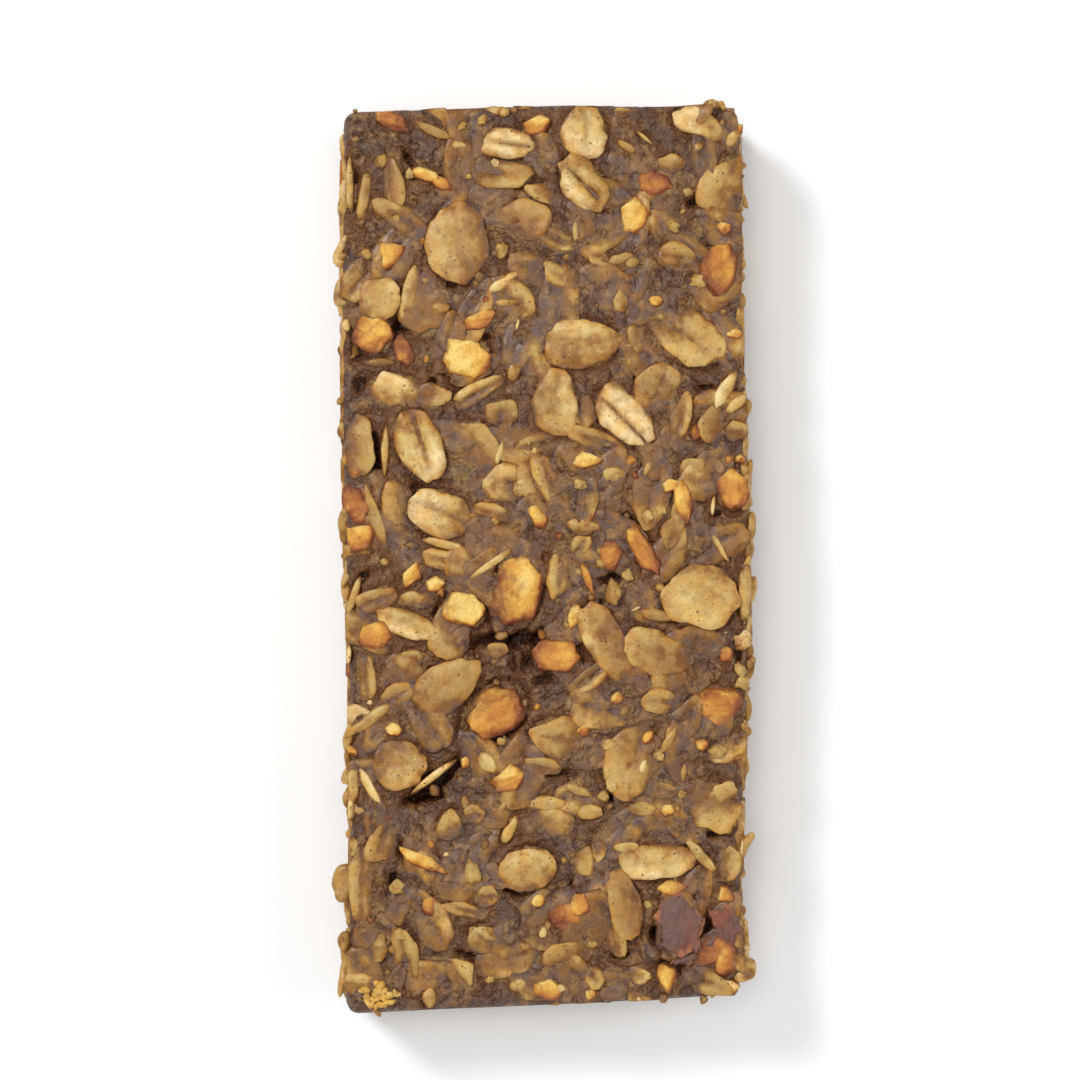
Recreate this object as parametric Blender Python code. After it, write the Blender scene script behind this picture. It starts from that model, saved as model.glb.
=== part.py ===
"""A lactation bar: a slab of sticky oat and fruit paste, pressed flat and cut by hand into a bar.

Rolled oat flakes, nut pieces and a torn almond skin are pressed into it and show at every face.
It is eaten as one piece, so it is one solid: a core with the pieces that show fused on.
Metres, +Z up. The bar lies on its flat underside, with its length along Y, and the origin is at
the middle of that underside.
"""

import bmesh
import bpy
import math
import random
from mathutils import Matrix, Vector, noise

MM = 0.001

# The bar, as cut from the slab.
BAR_LENGTH = 100.0 * MM
BAR_WIDTH = 45.0 * MM
PASTE_HEIGHT = 12.1 * MM
LEFT_CORNER_RADIUS = 1.7 * MM
RIGHT_CORNER_RADIUS = 3.0 * MM
EDGE_ROUND = 1.6 * MM
EDGE_DROP = 0.9 * MM
PIECES_STAND_OUT = 0.35 * MM

# How uneven the pressed top and the cut sides are.
TOP_SWELL = 0.30 * MM
TOP_SWELL_SPACING = 8.0 * MM
SIDE_SWELL = 0.28 * MM
SIDE_SWELL_SPACING = 5.5 * MM

# The core's cells along X, Y and Z.
CORE_CELLS = (12, 26, 3)

# Rolled oats and nut pieces.
FLAKE_THICKNESS = 2.0 * MM
FLAKE_PROUD = 0.55 * MM
FLAKE_SIDES = 9
NUT_DEPTH = 3.6 * MM
NUT_PROUD = 0.60 * MM
SKIN_PROUD = 0.65 * MM
LARGE_NUT = 5.0 * MM
CRUMB_SIZE = 2.1 * MM
CRUMB_PROUD = 0.45 * MM
CRUMB_SPACING = 4.6 * MM
SIDE_BIT_SPACING = 6.2 * MM
SIDE_BIT_LENGTH = 5.6 * MM
SIDE_BIT_DEPTH = 4.2 * MM
SIDE_BIT_THICKNESS = 2.0 * MM
SIDE_BIT_PROUD = 0.85 * MM
SIDE_BIT_LEVELS = (0.24, 0.50, 0.76)
SEED = 23

# The four cut edges, in millimetres: how far each lies from the middle at a few places along it.
LEFT_EDGE = ((-50, 22.6), (-40, 22.1), (-22, 22.1), (-8, 22.4), (10, 22.9), (30, 23.0), (50, 22.9))
RIGHT_EDGE = ((-50, 22.4), (-36, 21.9), (-20, 22.4), (-4, 23.0), (12, 22.7), (28, 21.8), (50, 22.0))
FAR_EDGE = ((-22, 49.3), (-10, 49.7), (3, 50.1), (11, 49.9), (22, 50.1))
NEAR_EDGE = ((-22, 50.4), (-8, 49.8), (8, 49.1), (22, 48.3))

# Pieces laid by hand, in millimetres: x, y, length, width, turn in degrees from the X axis.
FLAKES_FAR_END = (
    (-9.7, 34.7, 9.6, 7.0, 93),
    (4.2, 47.1, 6.2, 5.0, 0),
    (4.2, 41.2, 7.8, 4.6, -45),
    (-4.2, 45.8, 6.6, 3.2, -8),
    (-5.0, 42.0, 9.0, 3.2, -5),
    (-16.8, 41.0, 8.0, 2.6, 95),
    (-2.3, 37.2, 6.0, 5.0, 0),
    (19.6, 41.0, 8.0, 5.0, 60),
    (16.8, 47.8, 6.0, 3.2, -25),
    (-18.2, 28.6, 5.0, 4.6, 0),
    (1.8, 31.0, 6.2, 2.4, -30),
    (3.9, 23.6, 8.2, 5.6, 0),
    (15.3, 24.6, 10.0, 6.3, -35),
    (-16.4, 18.3, 6.8, 4.6, -15),
    (12.2, 18.8, 7.0, 5.5, 70),
    (8.7, 15.5, 8.6, 5.0, -45),
    (1.0, 17.2, 7.6, 5.0, 85),
)
FLAKES_MIDDLE = (
    (-20.8, 12.3, 7.4, 3.6, 88),
    (-13.9, 12.3, 8.4, 5.2, -72),
    (-7.7, 12.5, 6.5, 5.0, -50),
    (5.3, 13.0, 7.0, 2.4, -22),
    (0.2, 8.8, 6.5, 3.0, -70),
    (-16.5, 5.5, 6.5, 3.2, 100),
    (-11.7, 4.9, 7.0, 5.4, -25),
    (1.5, -1.3, 6.8, 2.8, 85),
    (-18.7, -4.6, 5.0, 3.0, 20),
    (-15.2, -7.3, 7.4, 3.2, -22),
    (-10.8, -13.9, 8.8, 5.3, 40),
    (6.6, -9.2, 9.4, 4.6, -62),
    (12.3, -10.6, 8.6, 4.8, -28),
    (17.2, -4.4, 8.6, 8.0, 0),
    (12.5, -15.9, 4.2, 3.2, 0),
)
FLAKES_NEAR_END = (
    (1.6, -19.8, 7.4, 5.0, -10),
    (9.8, -22.4, 9.0, 7.0, 60),
    (-16.1, -22.8, 6.4, 5.2, 10),
    (18.8, -27.4, 6.4, 5.0, 40),
    (-0.5, -27.0, 6.5, 1.9, -3),
    (-10.6, -29.4, 3.8, 3.0, 90),
    (-2.0, -34.2, 6.2, 5.2, 20),
    (12.3, -33.4, 8.8, 4.2, 3),
    (8.7, -38.3, 8.0, 3.8, -78),
    (-20.4, -35.5, 10.6, 3.0, 88),
    (-15.5, -43.8, 7.5, 3.2, 100),
    (-6.9, -42.2, 4.2, 3.4, -40),
    (-9.5, -46.0, 4.6, 3.8, -55),
    (17.8, -46.2, 6.5, 3.5, -25),
)
NUTS = (
    (-17.0, 48.0, 4.8, 2.2, -25),
    (-1.1, 47.9, 3.6, 2.3, 25),
    (11.7, 41.3, 4.8, 2.6, -20),
    (9.7, 37.5, 5.0, 4.0, 90),
    (19.0, 31.8, 7.0, 5.0, 75),
    (-19.0, 24.7, 5.2, 4.8, 0),
    (-15.6, 22.8, 4.5, 2.4, 100),
    (-8.8, 21.9, 6.4, 6.2, 90),
    (-7.3, 26.3, 4.2, 2.6, 20),
    (4.3, 10.8, 4.0, 2.2, -5),
    (-21.0, 5.9, 5.0, 3.2, -60),
    (-20.4, 2.2, 4.0, 4.0, 0),
    (15.2, 6.3, 5.6, 2.2, -80),
    (20.4, 7.6, 5.2, 4.0, 95),
    (10.6, 1.0, 7.8, 2.6, -60),
    (7.2, 0.4, 4.0, 3.0, 90),
    (-9.1, -5.7, 5.7, 5.0, 0),
    (-3.2, -3.9, 9.5, 5.5, 75),
    (-18.9, -8.6, 4.4, 4.0, 0),
    (1.2, -10.7, 5.8, 4.2, -10),
    (-5.8, -16.4, 8.0, 5.5, 40),
    (19.0, -16.4, 6.2, 5.4, 0),
    (-4.0, -24.3, 5.0, 3.2, 20),
    (-13.4, -33.4, 7.0, 2.2, -28),
    (13.9, -36.4, 3.6, 2.4, 0),
    (2.8, -38.8, 5.5, 5.0, 0),
    (19.6, -37.2, 2.6, 2.2, 0),
    (17.5, -43.5, 6.0, 3.4, 0),
    (0.2, -47.5, 4.0, 3.0, 0),
    (-18.0, -47.9, 4.4, 2.3, 0),
)
ALMOND_SKINS = (
    (14.6, -40.6, 6.8, 5.5, 80),
    (20.0, -40.8, 4.8, 3.0, -60),
)
# Flakes that stick out past a cut side: x, y, length, width, turn, and height above the underside.
PROTRUDING_FLAKES = (
    (-22.6, -35.8, 4.6, 3.0, 90, 10.4),
    (-22.0, -42.6, 3.0, 2.0, 90, 9.8),
    (22.2, -45.6, 3.0, 2.6, 60, 9.6),
    (22.0, -4.0, 7.6, 2.4, 90, 10.8),
    (18.6, 49.8, 2.6, 1.6, 0, 10.6),
)
# Deep gaps between pieces: x, y, length, width, turn.
GAPS = (
    (-4.2, -9.3, 6.4, 1.2, 3),
    (-11.8, -24.9, 5.6, 1.5, 40),
    (-18.9, 12.0, 5.0, 1.1, -83),
    (-15.9, 25.8, 2.2, 1.5, 20),
    (-20.9, 22.4, 3.0, 1.6, 80),
    (16.2, -42.6, 3.8, 1.2, 25),
)
GAP_DEPTH = 2.2 * MM


def clear_scene():
    for thing in list(bpy.data.objects):
        bpy.data.objects.remove(thing, do_unlink=True)


def food_material(name, colour, roughness):
    material = bpy.data.materials.new(name)
    material.use_nodes = True
    shader = material.node_tree.nodes["Principled BSDF"]
    shader.inputs["Base Color"].default_value = (*colour, 1.0)
    shader.inputs["Roughness"].default_value = roughness
    shader.inputs["Metallic"].default_value = 0.0
    return material


def add_object(name, mesh, collection, material):
    """Turns a finished bmesh into an object of the given collection."""
    data = bpy.data.meshes.new(name)
    mesh.to_mesh(data)
    mesh.free()
    data.materials.append(material)
    thing = bpy.data.objects.new(name, data)
    collection.objects.link(thing)
    return thing


def edge_at(stops, place):
    """The edge's distance at a place along it, in metres, eased from one stop to the next."""
    place = place / MM
    if place <= stops[0][0]:
        return stops[0][1] * MM
    for (start, low), (end, high) in zip(stops, stops[1:]):
        if place <= end:
            share = (place - start) / (end - start)
            return (low + (high - low) * share * share * (3 - 2 * share)) * MM
    return stops[-1][1] * MM


def paste_top(x, y):
    """Height of the pressed paste, before its edges are rounded."""
    swell = noise.noise(Vector((x / TOP_SWELL_SPACING, y / TOP_SWELL_SPACING, 3.7)))
    return PASTE_HEIGHT + TOP_SWELL * swell


def on_outline(across, along):
    """Maps the unit square (-1 to 1 each way) onto the bar's outline, with rounded corners."""
    x = across * BAR_WIDTH / 2
    y = along * BAR_LENGTH / 2
    radius = RIGHT_CORNER_RADIUS if x > 0 else LEFT_CORNER_RADIUS
    corner_x = BAR_WIDTH / 2 - radius
    corner_y = BAR_LENGTH / 2 - radius
    if abs(x) > corner_x and abs(y) > corner_y:
        out = Vector((abs(x) - corner_x, abs(y) - corner_y))
        out *= max(out) / out.length
        x = math.copysign(corner_x + out.x, x)
        y = math.copysign(corner_y + out.y, y)
    side = RIGHT_EDGE if x > 0 else LEFT_EDGE
    end = FAR_EDGE if y > 0 else NEAR_EDGE
    wide = edge_at(side, y) - PIECES_STAND_OUT
    long = edge_at(end, x) - PIECES_STAND_OUT
    return Vector((x * wide / (BAR_WIDTH / 2), y * long / (BAR_LENGTH / 2)))


def on_rim(place):
    return abs(place) > 0.999


def narrow_rim(place, cells, size):
    """Moves the evenly spaced cell lines so that the outermost cells are as wide as the rounding."""
    if on_rim(place):
        return place
    return place * (1 - 2 * EDGE_ROUND / size) / (1 - 2 / cells)


def make_core(collection, material):
    """The paste itself: a cut block with a flat underside, an uneven top and soft upper edges."""
    mesh = bmesh.new()
    bmesh.ops.create_cube(mesh, size=2.0)
    for axis, cells in enumerate(CORE_CELLS):
        rails = [e for e in mesh.edges if abs(e.verts[0].co[axis] - e.verts[1].co[axis]) > 0.5]
        bmesh.ops.subdivide_edges(mesh, edges=rails, cuts=cells - 1, use_grid_fill=True)
    for vertex in mesh.verts:
        across = narrow_rim(vertex.co.x, CORE_CELLS[0], BAR_WIDTH)
        along = narrow_rim(vertex.co.y, CORE_CELLS[1], BAR_LENGTH)
        height = (vertex.co.z + 1) / 2
        flat = on_outline(across, along)
        top = paste_top(flat.x, flat.y)
        if on_rim(across) or on_rim(along):
            place = Vector((flat.x, flat.y, height * PASTE_HEIGHT)) / SIDE_SWELL_SPACING
            flat *= 1 + SIDE_SWELL * noise.noise(place) / (BAR_WIDTH / 2)
            top -= EDGE_DROP
        vertex.co = (flat.x, flat.y, height * top)
    bmesh.ops.recalc_face_normals(mesh, faces=mesh.faces)
    return add_object("bar", mesh, collection, material)


def place_mesh(mesh, x, y, z, length, width, height, turn, tilt=(0.0, 0.0)):
    """Sizes a unit shape, tilts it a little, turns it about Z and sets it in its place."""
    sized = Matrix.Diagonal((length, width, height, 1.0))
    tipped = Matrix.Rotation(tilt[0], 4, "X") @ Matrix.Rotation(tilt[1], 4, "Y")
    turned = Matrix.Rotation(math.radians(turn), 4, "Z")
    placed = Matrix.Translation((x, y, z))
    bmesh.ops.transform(mesh, matrix=placed @ turned @ tipped @ sized, verts=mesh.verts)


def flake_shape(draw):
    """A rolled oat one unit across: a thin disc with a flat top and a wavy rim."""
    mesh = bmesh.new()
    bmesh.ops.create_uvsphere(mesh, u_segments=FLAKE_SIDES, v_segments=4, radius=0.5)
    phase = draw.uniform(0, math.tau)
    for vertex in mesh.verts:
        if abs(vertex.co.z) > 0.49:
            vertex.co.z *= 0.84
        angle = math.atan2(vertex.co.y, vertex.co.x)
        wave = 1 + 0.07 * math.sin(3 * angle + phase) + draw.uniform(-0.05, 0.05)
        vertex.co.x *= wave
        vertex.co.y *= wave
    return mesh


def lump_shape(draw, divisions, rough):
    """A broken nut or crumb one unit across, with a few flat faces."""
    mesh = bmesh.new()
    bmesh.ops.create_icosphere(mesh, subdivisions=divisions, radius=0.5)
    bmesh.ops.rotate(mesh, verts=mesh.verts, matrix=Matrix.Rotation(draw.uniform(0, 6), 3, (1, 2, 3)))
    for vertex in mesh.verts:
        vertex.co *= 1 + draw.uniform(-rough, rough)
    return mesh


def lay_flakes(places, proud, collection, material, draw):
    for x, y, length, width, turn in places:
        mesh = flake_shape(draw)
        z = paste_top(x * MM, y * MM) + proud - 0.42 * FLAKE_THICKNESS
        tilt = (draw.uniform(-0.06, 0.06), draw.uniform(-0.05, 0.05))
        place_mesh(mesh, x * MM, y * MM, z, length * MM, width * MM, FLAKE_THICKNESS, turn, tilt)
        add_object("flake", mesh, collection, material)


def lay_nuts(collection, material, draw):
    for x, y, length, width, turn in NUTS:
        large = max(length, width) * MM >= LARGE_NUT
        mesh = lump_shape(draw, 2 if large else 1, 0.08 if large else 0.12)
        z = paste_top(x * MM, y * MM) + NUT_PROUD - NUT_DEPTH / 2
        place_mesh(mesh, x * MM, y * MM, z, length * MM, width * MM, NUT_DEPTH, turn)
        add_object("nut", mesh, collection, material)


def lay_protruding(collection, material, draw):
    for x, y, length, width, turn, height in PROTRUDING_FLAKES:
        mesh = flake_shape(draw)
        place_mesh(mesh, x * MM, y * MM, height * MM, length * MM, width * MM, FLAKE_THICKNESS, turn)
        add_object("flake", mesh, collection, material)


def scatter_crumbs(collection, material, draw):
    """Small crumbs in the spaces that the larger pieces leave, spread evenly over the top."""
    taken = [(x, y, max(length, width) / 2) for x, y, length, width, _ in all_top_places()]
    step = CRUMB_SPACING / MM
    columns = int(BAR_WIDTH / CRUMB_SPACING)
    rows = int(BAR_LENGTH / CRUMB_SPACING)
    for row in range(rows):
        for column in range(columns):
            x = (column - (columns - 1) / 2) * step + draw.uniform(-1, 1)
            y = (row - (rows - 1) / 2) * step + draw.uniform(-1, 1)
            if any(math.hypot(x - a, y - b) < reach + 0.7 for a, b, reach in taken):
                continue
            mesh = lump_shape(draw, 1, 0.15)
            z = paste_top(x * MM, y * MM) + CRUMB_PROUD - CRUMB_SIZE / 2
            size = CRUMB_SIZE * draw.uniform(0.8, 1.2)
            place_mesh(mesh, x * MM, y * MM, z, size * 1.3, size, CRUMB_SIZE, draw.uniform(0, 180))
            add_object("crumb", mesh, collection, material)


def scatter_side_bits(collection, material, draw):
    """Cut edges of oats and nuts along the four sides: flat bits that lie level and end just proud."""
    for side in (1, -1):
        for turn, size in ((90, BAR_LENGTH), (0, BAR_WIDTH)):
            reach = 1 - 2 * RIGHT_CORNER_RADIUS / size
            count = int(size / SIDE_BIT_SPACING) * 2
            for step in range(count):
                along_side = ((step + draw.uniform(0.2, 0.8)) / count * 2 - 1) * reach
                spot = on_outline(side, along_side) if turn else on_outline(along_side, side)
                outward = Vector((side, 0)) if turn else Vector((0, side))
                spot += outward * (SIDE_BIT_PROUD * draw.uniform(0.6, 1.1) - SIDE_BIT_DEPTH / 2)
                level = SIDE_BIT_LEVELS[step % len(SIDE_BIT_LEVELS)] + draw.uniform(-0.08, 0.08)
                length = SIDE_BIT_LENGTH * draw.uniform(0.7, 1.4)
                thickness = SIDE_BIT_THICKNESS * draw.uniform(0.8, 1.7)
                mesh = lump_shape(draw, 1, 0.10)
                height = PASTE_HEIGHT * level
                place_mesh(mesh, spot.x, spot.y, height, length, SIDE_BIT_DEPTH, thickness, turn)
                add_object("side_bit", mesh, collection, material)


def all_top_places():
    return FLAKES_FAR_END + FLAKES_MIDDLE + FLAKES_NEAR_END + NUTS + ALMOND_SKINS


def make_gap_cutters(collection, material, draw):
    for x, y, length, width, turn in GAPS:
        mesh = lump_shape(draw, 2, 0.04)
        z = paste_top(x * MM, y * MM)
        place_mesh(mesh, x * MM, y * MM, z, length * MM, width * MM, 2 * GAP_DEPTH, turn)
        cutter = add_object("gap", mesh, collection, material)
        cutter.hide_render = True
        cutter.display_type = "WIRE"


def apply_boolean(target, operation, collection):
    """Joins or cuts with every object of a collection at once, then removes those objects."""
    modifier = target.modifiers.new(operation.lower(), "BOOLEAN")
    modifier.operation = operation
    modifier.operand_type = "COLLECTION"
    modifier.collection = collection
    modifier.solver = "EXACT"
    modifier.use_self = operation == "UNION"
    bpy.context.view_layer.update()
    graph = bpy.context.evaluated_depsgraph_get()
    joined = bpy.data.meshes.new_from_object(target.evaluated_get(graph))
    target.modifiers.remove(modifier)
    target.data = joined
    joined.name = target.name
    for operand in list(collection.objects):
        bpy.data.objects.remove(operand, do_unlink=True)
    bpy.data.collections.remove(collection)


def keep_outer_body(target):
    """Drops loose scraps and the shells of any sealed hollow, which fills it."""
    mesh = bmesh.new()
    mesh.from_mesh(target.data)
    bmesh.ops.remove_doubles(mesh, verts=mesh.verts, dist=0.002 * MM)
    bmesh.ops.dissolve_degenerate(mesh, edges=mesh.edges, dist=0.002 * MM)
    unseen = set(mesh.verts)
    shells = []
    while unseen:
        shell = {unseen.pop()}
        edge_of_shell = list(shell)
        while edge_of_shell:
            vertex = edge_of_shell.pop()
            near = {e.other_vert(vertex) for e in vertex.link_edges} & unseen
            unseen -= near
            shell |= near
            edge_of_shell.extend(near)
        shells.append(shell)
    shells.sort(key=len)
    for shell in shells[:-1]:
        bmesh.ops.delete(mesh, geom=list(shell), context="VERTS")
    bmesh.ops.triangulate(mesh, faces=mesh.faces)
    mesh.to_mesh(target.data)
    mesh.free()


def build_bar():
    clear_scene()
    draw = random.Random(SEED)
    scene = bpy.context.scene
    bar_parts = bpy.data.collections.new("lactation_bar")
    gaps = bpy.data.collections.new("gap_cutters")
    pieces = bpy.data.collections.new("pieces_to_fuse")
    for collection in (bar_parts, gaps, pieces):
        scene.collection.children.link(collection)
    food = food_material("oat_paste", (0.215, 0.135, 0.075), 0.5)
    core = make_core(bar_parts, food)
    make_gap_cutters(gaps, food, draw)
    apply_boolean(core, "DIFFERENCE", gaps)
    for places in (FLAKES_FAR_END, FLAKES_MIDDLE, FLAKES_NEAR_END):
        lay_flakes(places, FLAKE_PROUD, pieces, food, draw)
    lay_flakes(ALMOND_SKINS, SKIN_PROUD, pieces, food, draw)
    lay_nuts(pieces, food, draw)
    lay_protruding(pieces, food, draw)
    scatter_crumbs(pieces, food, draw)
    scatter_side_bits(pieces, food, draw)
    apply_boolean(core, "UNION", pieces)
    keep_outer_body(core)
    core.data.shade_smooth()
    core.data.set_sharp_from_angle(angle=math.radians(32))


build_bar()
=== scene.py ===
import bmesh
import bpy
import math
import random
import numpy as np
from mathutils import Matrix, Vector, noise


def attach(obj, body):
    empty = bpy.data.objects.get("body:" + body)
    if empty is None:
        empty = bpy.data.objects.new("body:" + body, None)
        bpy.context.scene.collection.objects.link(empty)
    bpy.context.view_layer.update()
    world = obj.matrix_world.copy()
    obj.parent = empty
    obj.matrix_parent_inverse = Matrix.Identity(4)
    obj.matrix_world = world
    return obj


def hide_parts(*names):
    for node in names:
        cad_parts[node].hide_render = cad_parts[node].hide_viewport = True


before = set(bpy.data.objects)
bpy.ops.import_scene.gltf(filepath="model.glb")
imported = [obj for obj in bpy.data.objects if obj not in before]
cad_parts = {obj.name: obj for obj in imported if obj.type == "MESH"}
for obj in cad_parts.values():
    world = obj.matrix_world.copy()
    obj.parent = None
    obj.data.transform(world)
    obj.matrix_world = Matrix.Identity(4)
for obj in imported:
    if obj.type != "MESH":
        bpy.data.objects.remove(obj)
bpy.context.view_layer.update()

# --- Table, lamps and camera -----------------------------------------------------------------
# The bar lies on a plain white table between wide soft lamps, and is seen from straight above.
# Most lamps stand to the sides, so that the sticky top glints only where it is uneven.
MM = 0.001
VIEW_CENTRE = (-0.66, 1.98)
VIEW_WIDTH = 118.8
NEAREST_SEEN = 10
LENS = 100.0
SENSOR = 36.0
TOP_OF_BAR = 12.5
# name, place, size, watts
LAMPS = (
    ("lamp_far_left", (-330, 300, 430), 150, 2.1),
    ("lamp_right", (420, 60, 360), 260, 0.8),
    ("lamp_near", (-40, -420, 380), 260, 0.7),
    ("lamp_above", (-60, 60, 520), 160, 0.5),
)
WORLD_STRENGTH = 0.37
WORLD_WHITE = (1.0, 0.995, 0.985, 1.0)
TABLE_SIZE = 3000
TABLE_WHITE = (0.96, 0.96, 0.955, 1.0)
TABLE_ROUGHNESS = 0.9

camera_data = bpy.data.cameras.new("camera")
camera_data.lens = LENS
camera_data.sensor_width = SENSOR
camera_data.clip_start = NEAREST_SEEN * MM
camera = bpy.data.objects.new("camera", camera_data)
camera_rise = TOP_OF_BAR + VIEW_WIDTH * LENS / SENSOR
camera.location = (VIEW_CENTRE[0] * MM, VIEW_CENTRE[1] * MM, camera_rise * MM)
bpy.context.scene.collection.objects.link(camera)
bpy.context.scene.camera = camera
bpy.context.scene.view_settings.view_transform = "Standard"

for name, place, size, watts in LAMPS:
    lamp_data = bpy.data.lights.new(name, "AREA")
    lamp_data.size = size * MM
    lamp_data.energy = watts
    lamp = bpy.data.objects.new(name, lamp_data)
    lamp.location = Vector(place) * MM
    lamp.rotation_mode = "QUATERNION"
    lamp.rotation_quaternion = (-Vector(place)).to_track_quat("-Z", "Y")
    bpy.context.scene.collection.objects.link(lamp)

world = bpy.data.worlds.new("white_room")
world.use_nodes = True
world_sockets = world.node_tree.nodes["Background"].inputs
world_sockets["Color"].default_value = WORLD_WHITE
world_sockets["Strength"].default_value = WORLD_STRENGTH
bpy.context.scene.world = world

table_mesh = bmesh.new()
bmesh.ops.create_grid(table_mesh, x_segments=1, y_segments=1, size=TABLE_SIZE * MM / 2)
table_data = bpy.data.meshes.new("table")
table_mesh.to_mesh(table_data)
table_mesh.free()
table = bpy.data.objects.new("table", table_data)
bpy.context.scene.collection.objects.link(table)
table_paint = bpy.data.materials.new("white_table")
table_paint.use_nodes = True
paint_sockets = table_paint.node_tree.nodes["Principled BSDF"].inputs
paint_sockets["Base Color"].default_value = TABLE_WHITE
paint_sockets["Roughness"].default_value = TABLE_ROUGHNESS
table_data.materials.append(table_paint)

# --- Rolled oats that lie whole on the top ---------------------------------------------------
# Steamed groats rolled flat: a thin scale with a wavy rim, the groat's crease down the middle, a
# toasted stain along it and bran specks. They were pressed into the sticky slab's top.
# Sizes and places in these lists are in millimetres, turns in degrees from the X axis.
LEFT_EDGE = ((-50, 22.6), (-40, 22.1), (-22, 22.1), (-8, 22.4), (10, 22.9), (30, 23.0), (50, 22.9))
RIGHT_EDGE = ((-50, 22.4), (-36, 21.9), (-20, 22.4), (-4, 23.0), (12, 22.7), (28, 21.8), (50, 22.0))
FAR_EDGE = ((-22, 49.3), (-10, 49.7), (3, 50.1), (11, 49.9), (22, 50.1))
NEAR_EDGE = ((-22, 50.4), (-8, 49.8), (8, 49.1), (22, 48.3))
SLAB_LEVEL = 12.1
SLAB_SWELL = 0.30
SLAB_SWELL_SPACING = 8.0
EDGE_ROUND = 1.6
EDGE_DROP = 0.9
SWELL_SHIFT = 3.7
CUT_MARGIN = 0.30
INNER_HALF_WIDTH = 20
INNER_HALF_LENGTH = 47
# A flake's facets round and down, its thickness, how far out chips break its rim, and how deep
OAT_FACETS = (40, 14)
OAT_THICK = 0.85
OAT_BROKEN = (0.70, 0.94)
CHIP_DEPTH = 0.85
# x, y, length, width, turn, tone (0 brown to 1 cream), crease, stain, side left bare
WHOLE_OATS = (
    (-9.7, 34.7, 9.6, 7.0, 93, 0.60, 0.1, 1.0, 180),
    (4.2, 41.2, 7.8, 4.7, -45, 0.82, 1.0, 0.5, -140),
    (-4.2, 45.6, 6.6, 3.3, -8, 1.02, 0.8, 0.2, 170),
    (8.7, 15.5, 8.8, 5.0, -45, 1.12, 1.0, 0.2, -120),
    (1.0, 17.2, 7.6, 5.2, 85, 0.68, 0.2, 0.7, 0),
    (-13.9, 12.3, 8.6, 5.3, -72, 0.86, 0.9, 0.4, -60),
    (17.2, -4.4, 8.4, 7.8, 20, 0.74, 0.0, 0.2, -120),
    (-2.0, -34.2, 6.2, 5.2, 20, 0.66, 0.0, 0.35, 90),
    (12.3, -33.5, 8.8, 4.2, 3, 0.86, 0.2, 0.3, -90),
    (-10.8, -13.9, 8.8, 5.4, 40, 0.42, 0.1, 0.5, 90),
    (8.7, -38.3, 8.0, 3.8, -78, 0.30, 0.1, 0.6, 200),
    (-15.2, -7.3, 7.6, 3.1, -22, 0.86, 0.2, 0.5, -112),
    (-18.2, 28.6, 5.2, 4.8, 10, 0.66, 0.1, 0.5, 30),
    (-16.1, -22.8, 6.4, 5.4, 10, 0.62, 0.1, 0.8, -50),
    (3.9, 23.6, 8.6, 5.8, 0, 0.66, 0.5, 0.9, 95),
    (-11.7, 4.9, 7.2, 5.6, -25, 0.90, 0.7, 0.5, 150),
    (16.8, 47.8, 6.2, 3.2, -25, 0.80, 0.2, 0.3, 160),
    (4.2, 47.0, 6.0, 5.4, 90, 0.86, 0.5, 0.4, -60),
    (6.6, -9.2, 9.4, 4.8, -62, 0.54, 0.3, 1.0, 200),
    (12.3, -10.6, 8.8, 5.0, -28, 0.45, 0.3, 0.9, 160),
)
WHOLE_LIFT = 0.48
WHOLE_LEAN = 0.03
WHOLE_FILM = (-0.12, 0.34, 0.34)
WHOLE_FACETS = (60, 20)
WHOLE_BROKEN = (0.84, 0.99)


def edge_at(stops, place):
    """How far a cut edge lies from the middle, at a place along it."""
    return np.interp(place, [stop[0] for stop in stops], [stop[1] for stop in stops])


def inside_edge(x, y):
    """Distance from a place in the slab to the nearest cut edge."""
    across = min(edge_at(RIGHT_EDGE, y) - x, x + edge_at(LEFT_EDGE, y))
    along = min(edge_at(FAR_EDGE, x) - y, y + edge_at(NEAR_EDGE, x))
    return min(across, along)


def well_inside(x, y):
    """Whether a place lies so far in that no cut edge matters there."""
    return abs(x) < INNER_HALF_WIDTH and abs(y) < INNER_HALF_LENGTH


def within_cut(x, y):
    """A place on the top, drawn back to where the knife cut if it lies beyond."""
    if well_inside(x, y):
        return x, y
    x = min(max(x, CUT_MARGIN - edge_at(LEFT_EDGE, y)), edge_at(RIGHT_EDGE, y) - CUT_MARGIN)
    y = min(max(y, CUT_MARGIN - edge_at(NEAR_EDGE, x)), edge_at(FAR_EDGE, x) - CUT_MARGIN)
    return float(x), float(y)


def edge_drop(inset):
    """How far the rounded upper edge lies below the top, at a distance in from the cut."""
    short = np.clip((EDGE_ROUND - inset) / EDGE_ROUND, 0, 1)
    return EDGE_DROP * short ** 2.5


def ripple(x, y, shift):
    """Smooth noise over a flat place, different for each shift."""
    return noise.noise(Vector((x, y, shift)))


def slab_level(x, y):
    """Height of the pressed slab's top at a place."""
    swell = ripple(x / SLAB_SWELL_SPACING, y / SLAB_SWELL_SPACING, SWELL_SHIFT)
    drop = 0.0 if well_inside(x, y) else float(edge_drop(inside_edge(x, y)))
    return SLAB_LEVEL + SLAB_SWELL * swell - drop


def turned(x, y, along, across, spin):
    """The place that lies along and across a turned direction from a point."""
    return (
        x + along * math.cos(spin) - across * math.sin(spin),
        y + along * math.sin(spin) + across * math.cos(spin),
    )


def ease(value, low, high):
    """0 below the low value, 1 above the high one, and smooth between them."""
    share = min(1.0, max(0.0, (value - low) / (high - low)))
    return share * share * (3 - 2 * share)


PAINTED = ("tone", "coat", "stain", "crease", "rim")
# Noise that gives directions starts from the clock unless it is seeded
TEAR_SEED = 7
noise.seed_set(TEAR_SEED)
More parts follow.
